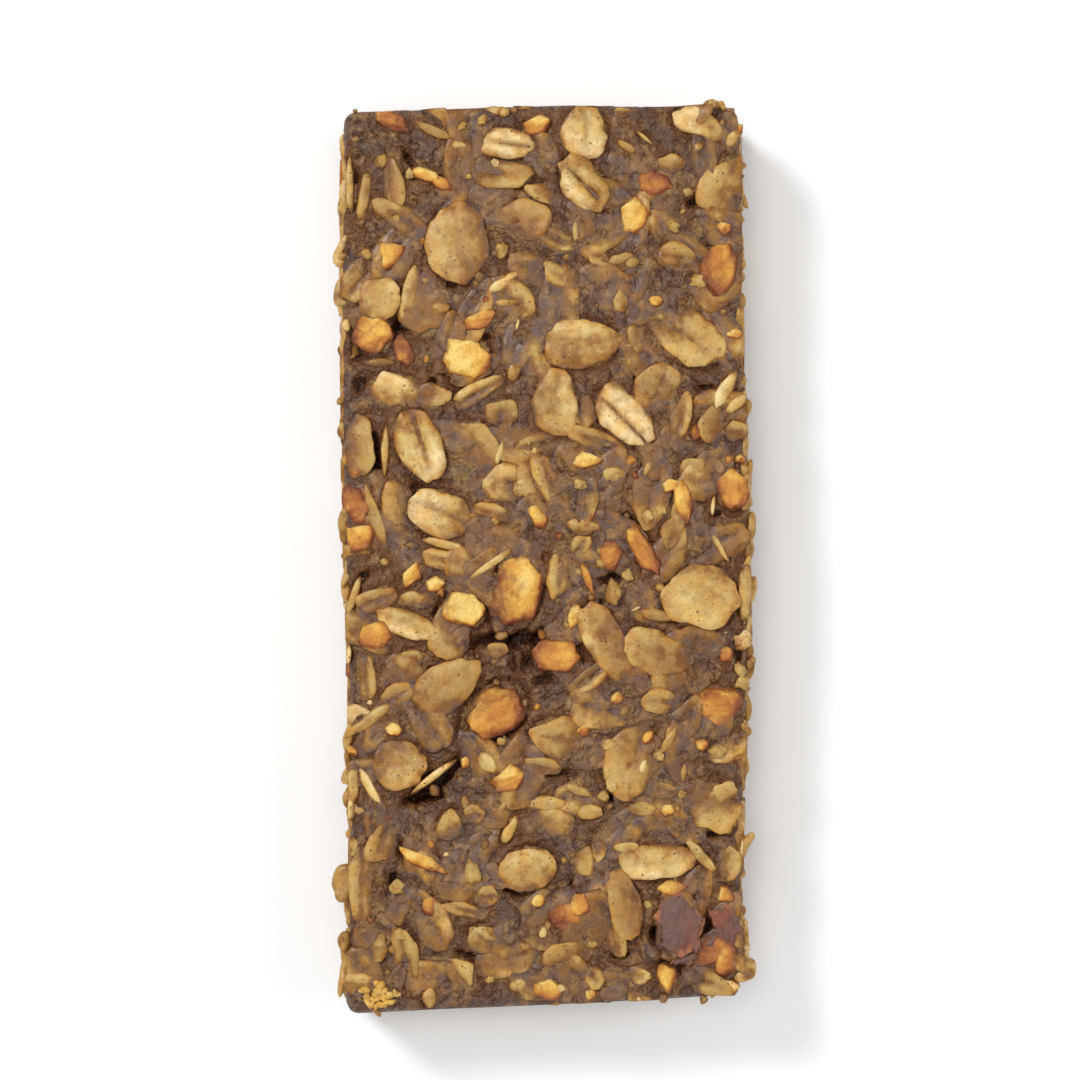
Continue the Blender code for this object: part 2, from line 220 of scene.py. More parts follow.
# Every piece laid on the top: x, y, half length, half width, spin, rise, slope x, slope y, and
# 1 where its rim stays clear of paste. The paste is shaped round them in the last section.
pressed_in = []


def new_food_mesh():
    """An empty mesh with a layer for each thing that is painted on the food, point by point."""
    mesh = bmesh.new()
    for name in PAINTED:
        mesh.verts.layers.float.new(name)
    return mesh


def add_into(mesh, piece):
    """Adds a finished small mesh to the piece that gathers its kind."""
    data = bpy.data.meshes.new("part")
    piece.to_mesh(data)
    piece.free()
    mesh.from_mesh(data)
    bpy.data.meshes.remove(data)


def paint(mesh, vertex, **amounts):
    """Paints amounts of tone, coat and so on at a point."""
    for name, amount in amounts.items():
        vertex[mesh.verts.layers.float[name]] = amount


def smeared(x, y, z, film):
    """How much paste lies on a piece at a point: the film it got, more in patches and low down."""
    patch = ripple(x * 0.45, y * 0.45, 9.1) + 0.6 * ripple(x * 1.3, y * 1.3, 2.3)
    low = 1 - ease(z - slab_level(x, y), -0.06, 0.30)
    return min(1.0, max(0.0, film + 0.42 * patch + 0.75 * low))


def lay_oat(
    mesh, draw, place, look, lift, lean, toward, film,
    facets=OAT_FACETS, thick=OAT_THICK, broken=OAT_BROKEN,
):
    """One rolled oat, its top the lift above the slab, leaning up and left bare towards an angle.

    The film is how much paste covers it in the middle, and how much more on the side that is down.
    Chips break its rim at reaches drawn between the broken two, as shares of its half size.
    """
    x, y, length, width, turn = place
    tone, crease, stain = look
    spin = math.radians(turn)
    aim = Vector((math.cos(math.radians(toward)), math.sin(math.radians(toward))))
    up_x = lean * aim.x
    up_y = lean * aim.y
    facing = spin - math.radians(toward)
    span = math.hypot(length / 2 * math.cos(facing), width / 2 * math.sin(facing))
    middle = slab_level(x, y) + lift - thick / 2
    wave = [draw.uniform(0, math.tau) for _ in range(3)]
    taper = draw.uniform(0.02, 0.22)
    curl = draw.uniform(-0.10, 0.22)
    off_centre = draw.uniform(-0.06, 0.06) * width
    chips = [(draw.uniform(0, math.tau), draw.uniform(*broken)) for _ in range(draw.choice((3, 4, 5)))]
    piece = new_food_mesh()
    bmesh.ops.create_uvsphere(piece, u_segments=facets[0], v_segments=facets[1], radius=1.0)
    for vertex in piece.verts:
        u, v, w = vertex.co
        ring = min(1.0, math.hypot(u, v))
        angle = math.atan2(v, u)
        for chipped, reach in chips:
            over = u * math.cos(chipped) + v * math.sin(chipped) - reach
            if over > 0:
                u -= CHIP_DEPTH * over * math.cos(chipped)
                v -= CHIP_DEPTH * over * math.sin(chipped)
        rim_wave = 1 + 0.05 * math.sin(2 * angle + wave[0]) + 0.04 * math.sin(3 * angle + wave[1])
        rim_wave += 0.10 * ripple(2.5 * u + wave[0], 2.5 * v, wave[1])
        rim_wave += 0.03 * ripple(5.0 * u, 5.0 * v + wave[0], wave[2])
        a = u * rim_wave * length / 2
        b = v * rim_wave * width / 2 * (1 - taper * u)
        px, py = within_cut(*turned(x, y, a, b, spin))
        body = (0.70 + 0.30 * (1 - ring ** 2)) * math.sqrt(max(0.0, 1 - ring ** 10))
        pz = middle + math.copysign(thick / 2 * body, w) + curl * ring ** 3
        fold = math.exp(-((b - off_centre) / 0.30) ** 2) * (1 - u * u)
        if w > 0:
            cheek = math.exp(-((abs(b - off_centre) / width - 0.24) / 0.12) ** 2)
            pz += crease * (0.22 * cheek - 0.5 * fold)
            pz += 0.10 * ripple(px * 0.9, py * 0.9, wave[2])
        pz += up_x * (px - x) + up_y * (py - y)
        vertex.co = (px * MM, py * MM, pz * MM)
        band = math.exp(-(b / (0.22 * width)) ** 2) * (1 - ring ** 4)
        bare = (aim.x * (px - x) + aim.y * (py - y)) / span
        crept = 0.35 * ease(ring, 0.62, 1.0) * (0.6 + 1.6 * ripple(px * 0.8, py * 0.8, wave[0]))
        coat = smeared(px, py, pz, film[0] - film[1] * bare + crept)
        shade = tone + (0.14 + 0.20 * stain) * bare
        paint(piece, vertex, tone=shade, coat=coat, stain=stain * band)
        paint(piece, vertex, crease=crease * fold, rim=ease(ring, 0.60, 1.0))
    add_into(mesh, piece)
    pressed_in.append((x, y, length / 2, width / 2, spin, lift, up_x, up_y, 0.0))


class Finish:
    """A food's surface: a principled shader, fed by noises and by what is painted on the piece."""

    def __init__(self, name, roughness, specular):
        self.material = bpy.data.materials.new(name)
        self.material.use_nodes = True
        self.tree = self.material.node_tree
        self.shader = self.tree.nodes["Principled BSDF"]
        self.shader.inputs["Roughness"].default_value = roughness
        self.shader.inputs["Specular IOR Level"].default_value = specular
        self.where = self.tree.nodes.new("ShaderNodeTexCoord").outputs["Object"]

    def join(self, value, socket):
        """Sets a socket to a number or a colour, or links another node's output to it."""
        if isinstance(value, (int, float)):
            socket.default_value = value
        elif isinstance(value, tuple):
            socket.default_value = (*value, 1.0)[: len(socket.default_value)]
        else:
            self.tree.links.new(value, socket)

    def add(self, kind, output, values, **settings):
        """Adds a shader node with its settings and what goes into its sockets, for one output."""
        node = self.tree.nodes.new(f"ShaderNode{kind}")
        for name, setting in settings.items():
            setattr(node, name, setting)
        for socket, value in values.items():
            self.join(value, node.inputs[socket])
        return node.outputs[output]

    def painted(self, name):
        """What is painted on the piece under a name."""
        return self.add("Attribute", "Fac", {}, attribute_name=name)

    def patches(self, size, detail=2.0, contrast=0.5, shift=0.0):
        """Soft noise with features of about a size in millimetres, different for each shift."""
        values = {"Vector": self.where, "W": shift, "Scale": 1 / (size * MM)}
        values.update({"Detail": detail, "Roughness": contrast})
        return self.add("TexNoise", "Fac", values, noise_dimensions="4D")

    def specks(self, spacing, size):
        """Ragged dots of many sizes: 1 inside a dot, for a spacing and a radius in millimetres."""
        values = {"Vector": self.bent(0.3, 0.10), "Scale": 1 / (spacing * MM)}
        distance = self.add("TexVoronoi", "Distance", values)
        of_cell = distance.node.outputs["Color"]
        shrink = self.remap(of_cell, 0.25, 0.75, 0.0, 1.2 * size / spacing)
        return self.remap(self.sum(distance, shrink), size / spacing, 0.6 * size / spacing)

    def bent(self, size, reach):
        """The place on the piece, pushed about by up to a reach, so that a pattern wanders."""
        values = {"Vector": self.where, "Scale": 1 / (size * MM), "Detail": 3.0}
        push = self.add("TexNoise", "Color", values)
        push = self.add("VectorMath", "Vector", {0: push, 1: (0.5, 0.5, 0.5)}, operation="SUBTRACT")
        most = 4 * reach * MM
        values = {0: push, 1: (most, most, most), 2: self.where}
        return self.add("VectorMath", "Vector", values, operation="MULTIPLY_ADD")

    def lumps(self, size, shift):
        """Rounded lumps of about a size that meet in sharp creases: 0 in a crease and 1 on top."""
        level = self.sum(self.patches(size, 3.0, 0.55, shift), 0.5, "SUBTRACT")
        return self.remap(self.sum(level, 0.0, "ABSOLUTE"), 0.0, 0.10)

    def remap(self, value, low, high, to_low=0.0, to_high=1.0):
        """The value's range from low to high, stretched to another range and held at its ends."""
        values = dict(enumerate((value, low, high, to_low, to_high)))
        return self.add("MapRange", "Result", values)

    def mottled(self, patches, low, high, to_low=0.0, to_high=1.0):
        """Patches, given as their size, detail, contrast and shift, stretched to a range."""
        return self.remap(self.patches(*patches), low, high, to_low, to_high)

    def sum(self, first, second, operation="ADD"):
        return self.add("Math", "Value", {0: first, 1: second}, operation=operation)

    def product(self, first, second):
        return self.sum(first, second, "MULTIPLY")

    def mix(self, share, first, second, blend="MIX"):
        values = {"Factor": share, "A": first, "B": second}
        return self.add("Mix", "Result", values, data_type="RGBA", blend_type=blend)

    def tint(self, share, first, second):
        """The first colour, multiplied by the second as far as the share goes."""
        return self.mix(share, first, second, "MULTIPLY")

    def ramp(self, value, stops):
        """The colour at a value, where each stop is a value and its colour."""
        blend = self.add("ValToRGB", "Color", {"Fac": value})
        marks = blend.node.color_ramp.elements
        while len(marks) < len(stops):
            marks.new(0.5)
        for mark, (place, colour) in zip(marks, stops):
            mark.position = place
            mark.color = (*colour, 1.0)
        return blend

    def relief(self, value, depth):
        """Fine relief of a depth in millimetres, where the value goes from 0 to 1."""
        values = {"Strength": 1.0, "Distance": depth * MM, "Height": value}
        self.join(self.add("Bump", "Normal", values), self.shader.inputs["Normal"])

    def colour(self, value):
        self.join(value, self.shader.inputs["Base Color"])

    def roughness(self, value):
        self.join(value, self.shader.inputs["Roughness"])


# The mauve is partly painted sheen: grey added to the paste's brown in place of a stronger specular
PASTE_MAUVE_AND_SHEEN = (0.128, 0.075, 0.057)
PASTE_BROWN = (0.170, 0.083, 0.035)
PASTE_TAN = (0.295, 0.160, 0.060)
PASTE_GRAIN = (0.70, 0.62, 0.56)
PASTE_CREASE_SHADE = (0.46, 0.25, 0.10)
LARGE_LUMPS = (3.0, 18.0)
SMALL_LUMPS = (1.3, 19.0)


def paste_colour(finish):
    """The sticky paste: mauve-brown, its grey partly painted sheen, some tan, and painted shade,
    warm and dark, in the creases between its lumps.
    """
    wide = finish.mottled((5.5, 3.0, 0.5), 0.46, 0.62)
    narrow = finish.mottled((1.4, 3.0, 0.5, 4.0), 0.50, 0.66)
    blend = finish.mix(narrow, finish.mix(wide, PASTE_MAUVE_AND_SHEEN, PASTE_BROWN), PASTE_TAN)
    # Painted shade: the creases between the large and the small lumps of the relief are tinted darker and
    # warmer
    crease_shade = finish.remap(finish.lumps(*LARGE_LUMPS), 0.0, 0.35, 1.0, 0.0)
    wrinkled = finish.remap(finish.lumps(*SMALL_LUMPS), 0.0, 0.40, 0.34, 0.0)
    blend = finish.tint(finish.sum(crease_shade, wrinkled, "MAXIMUM"), blend, PASTE_CREASE_SHADE)
    grain = finish.mottled((0.28, 2.0, 0.7, 21.0), 0.40, 0.62, 0.0, 0.14)
    return finish.tint(grain, blend, PASTE_GRAIN)


OAT_TONES = (
    (0.00, (0.200, 0.100, 0.036)),
    (0.25, (0.322, 0.184, 0.054)),
    (0.50, (0.452, 0.298, 0.090)),
    (0.70, (0.556, 0.396, 0.130)),
    (0.85, (0.680, 0.510, 0.195)),
    (1.00, (0.835, 0.655, 0.335)),
)
OAT_STAIN = (0.370, 0.175, 0.048)
OAT_CREASE = (0.190, 0.085, 0.030)
OAT_RIM = (0.470, 0.250, 0.062)
OAT_AMBER = (1.00, 0.78, 0.46)
OAT_SPECK = (0.165, 0.070, 0.024)
FILM_TINT = (0.60, 0.46, 0.33)


def under_film(finish, skin, ragged):
    """A piece's own colour, tinted by a thin film of paste and hidden where the paste is thick."""
    coat = finish.sum(finish.painted("coat"), ragged)
    tinted = finish.tint(finish.remap(coat, 0.10, 0.55), skin, FILM_TINT)
    grain = finish.mottled((0.3, 2.0, 0.7, 22.0), 0.42, 0.64, 0.0, 0.20)
    hidden = finish.remap(coat, 0.55, 1.05)
    return finish.mix(hidden, finish.tint(grain, tinted, FILM_TINT), paste_colour(finish))


def oat_finish():
    """Waxy khaki to cream, amber in places, with a brown stain, dark specks and a brown rim."""
    finish = Finish("rolled_oat", 0.42, 0.32)
    tone = finish.painted("tone")
    uneven = finish.mottled((3.0, 2.0, 0.5, 1.0), 0.3, 0.7, -0.12, 0.12)
    skin = finish.ramp(finish.sum(tone, uneven), OAT_TONES)
    amber = finish.mottled((1.8, 2.0, 0.5, 10.0), 0.36, 0.58, 0.30, 1.0)
    skin = finish.mix(finish.product(finish.painted("rim"), amber), skin, OAT_RIM)
    warmed = finish.mottled((1.8, 3.0, 0.6, 11.0), 0.44, 0.60, 0.0, 0.75)
    skin = finish.tint(warmed, skin, OAT_AMBER)
    blotch = finish.mottled((0.9, 4.0, 0.7, 2.0), 0.38, 0.60)
    skin = finish.mix(finish.product(finish.painted("stain"), blotch), skin, OAT_STAIN)
    mottle = finish.mottled((1.3, 5.0, 0.72, 12.0), 0.50, 0.62, 0.0, 0.50)
    skin = finish.mix(mottle, skin, OAT_STAIN)
    line = finish.mottled((0.6, 3.0, 0.6, 5.0), 0.3, 0.6, 0.5, 1.0)
    skin = finish.mix(finish.product(finish.painted("crease"), line), skin, OAT_CREASE)
    some = finish.mottled((2.2, 2.0, 0.5, 7.0), 0.42, 0.56, 0.2, 1.0)
    some = finish.sum(some, finish.painted("stain"), "MAXIMUM")
    skin = finish.mix(finish.product(finish.specks(0.46, 0.15), some), skin, OAT_SPECK)
    ragged = finish.mottled((1.5, 5.0, 0.65, 3.0), 0.3, 0.7, -0.38, 0.38)
    finish.colour(under_film(finish, skin, ragged))
    finish.roughness(finish.mottled((1.5, 2.0, 0.5, 8.0), 0.3, 0.7, 0.26, 0.46))
    finish.relief(finish.patches(1.0, 4.0, 0.55, 6.0), 0.16)
    return finish.material


def add_piece(data, material):
    """Makes a mesh one piece of the bar, riding on its body in place of the solid."""
    data.shade_smooth()
    data.materials.append(material)
    piece = bpy.data.objects.new(data.name, data)
    bpy.context.scene.collection.objects.link(piece)
    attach(piece, "root")
    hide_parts("bar")


def finish_piece(name, mesh, material):
    """Turns the gathered food of one kind into a piece, its faces outward."""
    bmesh.ops.recalc_face_normals(mesh, faces=mesh.faces)
    data = bpy.data.meshes.new(name)
    mesh.to_mesh(data)
    mesh.free()
    add_piece(data, material)


oat_skin = oat_finish()
draw = random.Random(11)
mesh = new_food_mesh()
for *place, tone, crease, stain, toward in WHOLE_OATS:
    look = (tone, crease, stain)
    film = (WHOLE_FILM[0] + WHOLE_FILM[1] * stain, WHOLE_FILM[2])
    shape = {"facets": WHOLE_FACETS, "broken": WHOLE_BROKEN}
    lay_oat(mesh, draw, place, look, WHOLE_LIFT, WHOLE_LEAN, toward, film, **shape)
finish_piece("whole_oats", mesh, oat_skin)

# --- Rolled oats half sunk in the paste ------------------------------------------------------
# The same flakes, tipped as they were pressed, so that one side shows bright and the rest fades
# under a smear of paste.
# x, y, length, width, turn, tone, and the side that shows, as an angle
SUNK_OATS = (
    (-16.8, 41.0, 8.0, 2.6, 95, 0.30, 0),
    (-5.0, 42.3, 9.0, 3.2, -5, 0.42, -60),
    (-2.3, 37.2, 6.0, 5.0, 0, 0.36, 60),
    (-0.2, 40.0, 5.0, 2.0, -30, 0.50, 200),
    (13.8, 43.4, 3.4, 2.4, 0, 0.36, 90),
    (19.6, 41.0, 8.3, 5.2, 60, 0.56, 150),
    (3.7, 35.9, 3.0, 1.8, 90, 0.50, 180),
    (5.8, 33.2, 3.0, 2.0, -30, 0.44, 240),
    (1.8, 31.0, 6.2, 2.6, -30, 0.52, 200),
    (15.3, 24.6, 10.0, 6.3, -35, 0.64, -60),
    (12.2, 18.8, 7.0, 5.5, 70, 0.36, 120),
    (-16.4, 18.3, 6.8, 4.6, -15, 0.80, 95),
    (-7.4, 18.3, 6.5, 2.4, 30, 0.66, 120),
    (-20.6, 12.3, 7.4, 3.9, 88, 0.46, 0),
    (-7.7, 12.5, 6.5, 5.0, -50, 0.40, 60),
    (-4.7, 16.0, 4.0, 3.5, 0, 0.34, 90),
    (-16.5, 5.5, 6.5, 3.2, 100, 0.42, 180),
    (-5.8, 5.0, 4.6, 2.0, -15, 0.50, 90),
    (5.3, 13.0, 7.0, 2.6, -22, 0.42, 100),
    (0.2, 8.8, 6.5, 3.0, -70, 0.46, 200),
    (14.8, 15.6, 5.5, 2.6, 75, 0.46, 0),
    (21.0, 14.0, 3.0, 2.4, 0, 0.42, 90),
    (4.0, 3.4, 4.0, 1.9, 0, 0.50, 90),
    (-11.6, -0.2, 4.5, 2.2, -10, 0.55, 90),
    (-18.7, -4.6, 5.0, 3.0, 20, 0.46, 120),
    (-14.5, -4.6, 4.0, 2.0, 0, 0.46, 90),
    (-19.8, -13.3, 5.6, 2.4, 95, 0.42, 0),
    (-14.6, -11.0, 3.5, 2.0, 0, 0.32, 90),
    (-5.3, -10.2, 3.0, 1.8, 0, 0.28, 90),
    (1.5, -1.3, 6.8, 2.8, 85, 0.50, 180),
    (3.8, 1.3, 3.2, 2.4, 60, 0.50, 90),
    (12.5, -15.9, 4.2, 3.2, 0, 0.48, 120),
    (1.6, -19.8, 7.4, 5.0, -10, 0.52, 150),
    (9.8, -22.4, 8.6, 6.8, 60, 0.50, 200),
    (19.5, -26.0, 3.6, 3.2, 40, 0.55, 90),
    (18.8, -28.0, 6.4, 5.0, 30, 0.55, -75),
    (-10.6, -29.4, 3.8, 3.0, 80, 0.60, 100),
    (-7.8, -28.3, 2.6, 2.4, 0, 0.40, 60),
    (-6.5, -37.3, 3.0, 2.8, 0, 0.40, 90),
    (-9.0, -38.8, 5.0, 2.0, -15, 0.36, 90),
    (-20.4, -35.5, 10.6, 3.2, 88, 0.52, 190),
    (-15.5, -43.8, 7.5, 3.2, 100, 0.44, 60),
    (-6.9, -42.0, 4.4, 3.4, -40, 0.58, 120),
    (-9.5, -46.0, 4.6, 3.8, -55, 0.54, 30),
    (17.8, -46.6, 6.5, 3.2, -25, 0.50, -30),
    (5.8, -32.3, 2.6, 2.0, 90, 0.60, -60),
    (4.1, -33.5, 4.0, 2.4, 90, 0.46, 0),
    (-20.7, -46.9, 3.8, 2.6, 0, 0.52, 90),
    (5.2, -46.2, 3.0, 2.4, -60, 0.56, -90),
    (10.3, -46.0, 2.8, 2.2, 0, 0.66, 0),
    (-9.6, 44.9, 2.4, 2.0, 0, 0.50, 90),
    (8.5, 49.0, 2.4, 1.3, 0, 0.36, 90),
    (1.9, -43.5, 5.0, 2.6, 20, 0.36, 120),
    (7.6, -42.0, 4.6, 2.4, -70, 0.34, 0),
    (-0.5, -23.0, 5.0, 2.4, -10, 0.34, 90),
    (16.0, 9.8, 3.4, 2.4, 30, 0.30, 90),
    (8.4, 32.4, 3.4, 2.6, 20, 0.30, 120),
    (14.6, 33.0, 5.0, 3.4, -20, 0.26, 90),
    (18.2, 14.8, 4.6, 3.0, 70, 0.30, 180),
    (-12.6, 17.8, 4.4, 3.0, 10, 0.28, 0),
    (-16.4, -15.4, 5.0, 3.2, 30, 0.36, 90),
    (14.0, 2.8, 4.0, 3.0, 60, 0.28, 180),
    (20.2, -33.6, 4.4, 2.6, 80, 0.48, 0),
    (-18.0, -31.4, 5.4, 3.4, 70, 0.38, 180),
)
# Gaps left open between the pieces, darkened by painted shade: x, y, length, width, turn, depth
GAPS = (
    (-3.8, -9.0, 7.6, 1.9, 4, 1.8),
    (-2.4, -11.6, 2.4, 2.0, 0, 1.3),
    (-0.4, -13.5, 2.0, 1.1, 10, 1.0),
    (-11.9, -24.6, 6.0, 1.7, 40, 1.8),
    (-13.8, -26.6, 4.2, 1.0, 10, 1.2),
    (-18.9, 12.2, 5.6, 1.0, -83, 1.4),
    (-15.9, 25.8, 1.9, 1.4, 20, 1.4),
    (-20.9, 22.8, 2.4, 1.3, 80, 0.9),
    (-20.6, 19.2, 1.8, 1.2, 60, 0.7),
    (-15.2, 44.1, 2.8, 0.6, -62, 1.0),
    (-21.0, 41.0, 7.0, 0.5, 86, 0.8),
    (16.2, 39.2, 1.5, 0.8, 10, 0.7),
    (-12.5, 19.5, 1.2, 0.9, 0, 0.8),
    (17.6, 18.9, 1.6, 1.0, 0, 0.9),
    (-14.4, 7.8, 1.2, 0.8, 0, 0.8),
    (18.9, 5.0, 0.9, 0.8, 0, 0.7),
    (-11.9, -5.9, 0.9, 1.6, 0, 0.9),
    (7.2, -2.2, 2.4, 1.2, 10, 0.9),
    (5.1, -5.4, 2.4, 0.6, 32, 0.7),
    (21.2, -10.5, 3.0, 0.7, 88, 0.8),
    (-20.0, -1.9, 1.4, 0.8, 30, 0.8),
    (17.6, -40.8, 2.4, 1.1, 60, 1.5),
    (14.4, -43.9, 3.2, 1.1, 25, 1.4),
    (12.0, -41.6, 0.9, 2.6, 10, 0.9),
    (-3.6, -36.6, 2.4, 1.3, -30, 0.9),
    (3.4, -36.2, 1.2, 0.9, -40, 1.0),
    (-8.7, -43.8, 3.6, 0.7, -22, 0.9),
    (8.2, -43.6, 1.8, 0.8, 20, 0.9),
    (15.0, -45.4, 1.8, 1.0, -40, 0.8),
    (7.9, -26.4, 2.6, 0.8, -5, 1.0),
    (-4.4, -19.0, 3.6, 0.9, 30, 1.0),
    (0.8, -23.6, 4.0, 0.8, -4, 0.9),
    (-17.0, -35.4, 0.8, 3.6, 0, 0.8),
    (18.4, -30.4, 3.2, 0.6, 12, 0.7),
    (-6.6, 24.4, 1.2, 0.8, 0, 0.8),
    (-10.4, 30.2, 1.6, 0.8, 30, 0.7),
)
SUNK_LIFT = 0.24
SUNK_LEAN = 0.085
SUNK_FILM = (0.18, 0.46)
BURIED_OATS = 130
BURIED_LEAN = 0.05
BURIED_FACETS = (28, 10)
BURIED_HALF_WIDTH = 20.5
BURIED_ENDS = (-47.0, 47.5)
SPOT_TRIES = 14
FARTHEST = 9.0
GAP_CLEARANCE = 1.5


def clear_spot(draw):
    """A place on the top, the farthest of a few tries from the pieces that lie there already."""
    best = (0.0, 0.0)
    best_gap = -FARTHEST
    for _ in range(SPOT_TRIES):
        x = draw.uniform(-BURIED_HALF_WIDTH, BURIED_HALF_WIDTH)
        y = draw.uniform(*BURIED_ENDS)
        gap = FARTHEST
        for piece_x, piece_y, half_length, half_width, *_ in pressed_in:
            reach = 0.5 * (half_length + half_width)
            gap = min(gap, math.hypot(x - piece_x, y - piece_y) - reach)
        for gap_x, gap_y, length, *_ in GAPS:
            gap = min(gap, math.hypot(x - gap_x, y - gap_y) - 0.5 * length - GAP_CLEARANCE)
        if gap > best_gap:
            best = (x, y)
            best_gap = gap
    return best


draw = random.Random(12)
mesh = new_food_mesh()
for *place, tone, shows in SUNK_OATS:
    width = place[3]
    lean = SUNK_LEAN * min(1.3, 5.0 / width)
    look = (tone, draw.uniform(0.0, 0.5), draw.uniform(0.2, 0.7))
    lay_oat(mesh, draw, place, look, SUNK_LIFT, lean, shows, SUNK_FILM)
for _ in range(BURIED_OATS):
    spot = clear_spot(draw)
    length = draw.uniform(5.0, 9.5)
    place = (*spot, length, length * draw.uniform(0.42, 0.72), draw.uniform(0, 180))
    look = (draw.uniform(0.26, 0.70), draw.uniform(0.0, 0.6), draw.uniform(0.2, 0.7))
    film = (draw.uniform(0.32, 0.95), 0.40)
    lift = draw.uniform(0.06, 0.20)
    lay_oat(mesh, draw, place, look, lift, BURIED_LEAN, draw.uniform(0, 360), film, BURIED_FACETS)
finish_piece("sunk_oats", mesh, oat_skin)

# --- Oats seen edge on -----------------------------------------------------------------------
# Flakes and broken halves that stand in the slab, so that only a long thin edge shows. Most are
# pale, where the flake split, and have little paste on them.
# x, y, length, width, turn, tone
EDGE_ON_OATS = (
    (-20.0, 40.0, 6.8, 1.5, 82, 0.56),
    (-21.6, 41.0, 7.0, 1.0, 90, 0.66),
    (-12.3, 47.0, 5.0, 1.2, -25, 0.42),
    (9.0, 45.2, 2.8, 1.0, -35, 0.50),
    (10.9, 46.2, 2.8, 0.6, -40, 0.76),
    (20.6, 46.2, 2.5, 1.4, 60, 0.66),
    (-15.0, 29.3, 7.2, 1.9, 80, 0.56),
    (-18.3, 21.5, 3.6, 1.2, 0, 0.22),
    (-4.9, 30.2, 5.4, 1.5, 35, 0.88),
    (-4.3, 28.1, 3.2, 1.0, 3, 0.54),
    (-3.5, 20.6, 2.6, 1.9, 80, 0.36),
    (-3.1, 25.8, 1.6, 0.5, 80, 1.00),
    (-22.0, 25.6, 1.6, 1.0, 90, 0.80),
    (19.7, 18.5, 4.8, 1.8, 60, 0.92),
    (21.2, 17.2, 4.2, 1.5, 45, 0.82),
    (9.8, 24.2, 3.8, 1.9, 110, 0.38),
    (8.2, 28.2, 2.6, 2.0, 90, 0.52),
    (-17.7, 11.8, 6.0, 1.0, 88, 0.76),
    (-5.1, 11.6, 3.2, 0.9, 75, 0.74),
    (-2.0, 12.8, 1.2, 0.4, -65, 0.88),
    (-2.7, 7.8, 2.6, 2.0, 60, 0.62),
    (-18.9, 4.6, 8.0, 1.6, -72, 0.54),
    (-11.2, 1.5, 5.5, 1.4, -15, 0.78),
    (18.4, 5.8, 2.5, 0.6, 85, 0.90),
    (11.3, 10.3, 2.8, 0.9, 70, 0.54),
    (7.5, 9.2, 2.8, 1.9, 10, 0.76),
    (-5.8, -0.5, 6.8, 1.0, 35, 0.68),
    (-21.1, -4.1, 4.8, 1.0, 72, 0.62),
    (-21.7, -10.7, 2.4, 0.6, 85, 0.96),
    (12.3, -6.3, 5.5, 1.6, -5, 0.46),
    (9.9, -5.6, 1.4, 0.4, 25, 1.00),
    (22.0, -4.0, 7.6, 1.8, 90, 0.62),
    (19.1, 1.2, 4.4, 0.9, -58, 0.78),
    (-19.2, -17.7, 7.2, 1.7, 35, 0.54),
    (-19.4, -25.3, 5.6, 1.2, -60, 0.88),
    (-12.5, -24.1, 6.9, 1.0, 37, 0.97),
    (-21.6, -27.7, 2.6, 1.5, 90, 0.86),
    (-21.2, -24.5, 5.0, 1.5, 90, 0.54),
    (-17.2, -22.0, 1.3, 0.6, 0, 0.95),
    (-4.0, -30.0, 3.8, 1.4, 65, 0.74),
    (-0.5, -27.0, 6.5, 1.9, -3, 0.66),
    (13.6, -20.0, 3.8, 1.0, 60, 0.58),
    (10.7, -23.0, 2.2, 0.9, 70, 0.84),
    (3.5, -25.6, 3.8, 1.4, -25, 0.62),
    (5.0, -28.0, 3.2, 1.9, 5, 0.58),
    (10.6, -27.7, 3.3, 2.0, 0, 0.56),
    (8.9, -31.9, 3.4, 1.4, 0, 0.66),
    (17.0, -32.8, 5.4, 1.4, -46, 0.64),
    (21.8, -32.1, 4.0, 1.0, 90, 0.90),
    (-0.3, -41.2, 1.6, 0.9, 70, 0.82),
    (21.8, -43.1, 1.7, 1.0, 20, 0.90),
    (20.0, -47.2, 3.0, 1.6, -15, 0.96),
    (22.4, -45.5, 2.4, 1.6, -60, 0.78),
    (15.2, -23.6, 2.4, 0.8, 80, 0.50),
    (-3.0, -47.0, 2.4, 2.0, 0, 0.58),
    (-12.8, -48.4, 2.4, 1.8, 80, 0.56),
    (-22.3, -35.4, 3.8, 0.7, 88, 0.86),
    (-6.5, -22.6, 3.2, 2.2, -60, 0.74),
)
EDGE_ON_LIFT = 0.34
EDGE_ON_FACETS = (28, 10)
EDGE_ON_THICK = 1.5

draw = random.Random(13)
mesh = new_food_mesh()
for *place, tone in EDGE_ON_OATS:
    lean = draw.uniform(0.0, 0.10)
    across = place[4] + 90
    look = (tone, 0.0, draw.uniform(0.0, 0.4))
    film = (0.35 - 0.35 * tone, 0.15)
    shape = {"facets": EDGE_ON_FACETS, "thick": EDGE_ON_THICK}
    lay_oat(mesh, draw, place, look, EDGE_ON_LIFT, lean, across, film, **shape)
finish_piece("edge_on_oats", mesh, oat_skin)

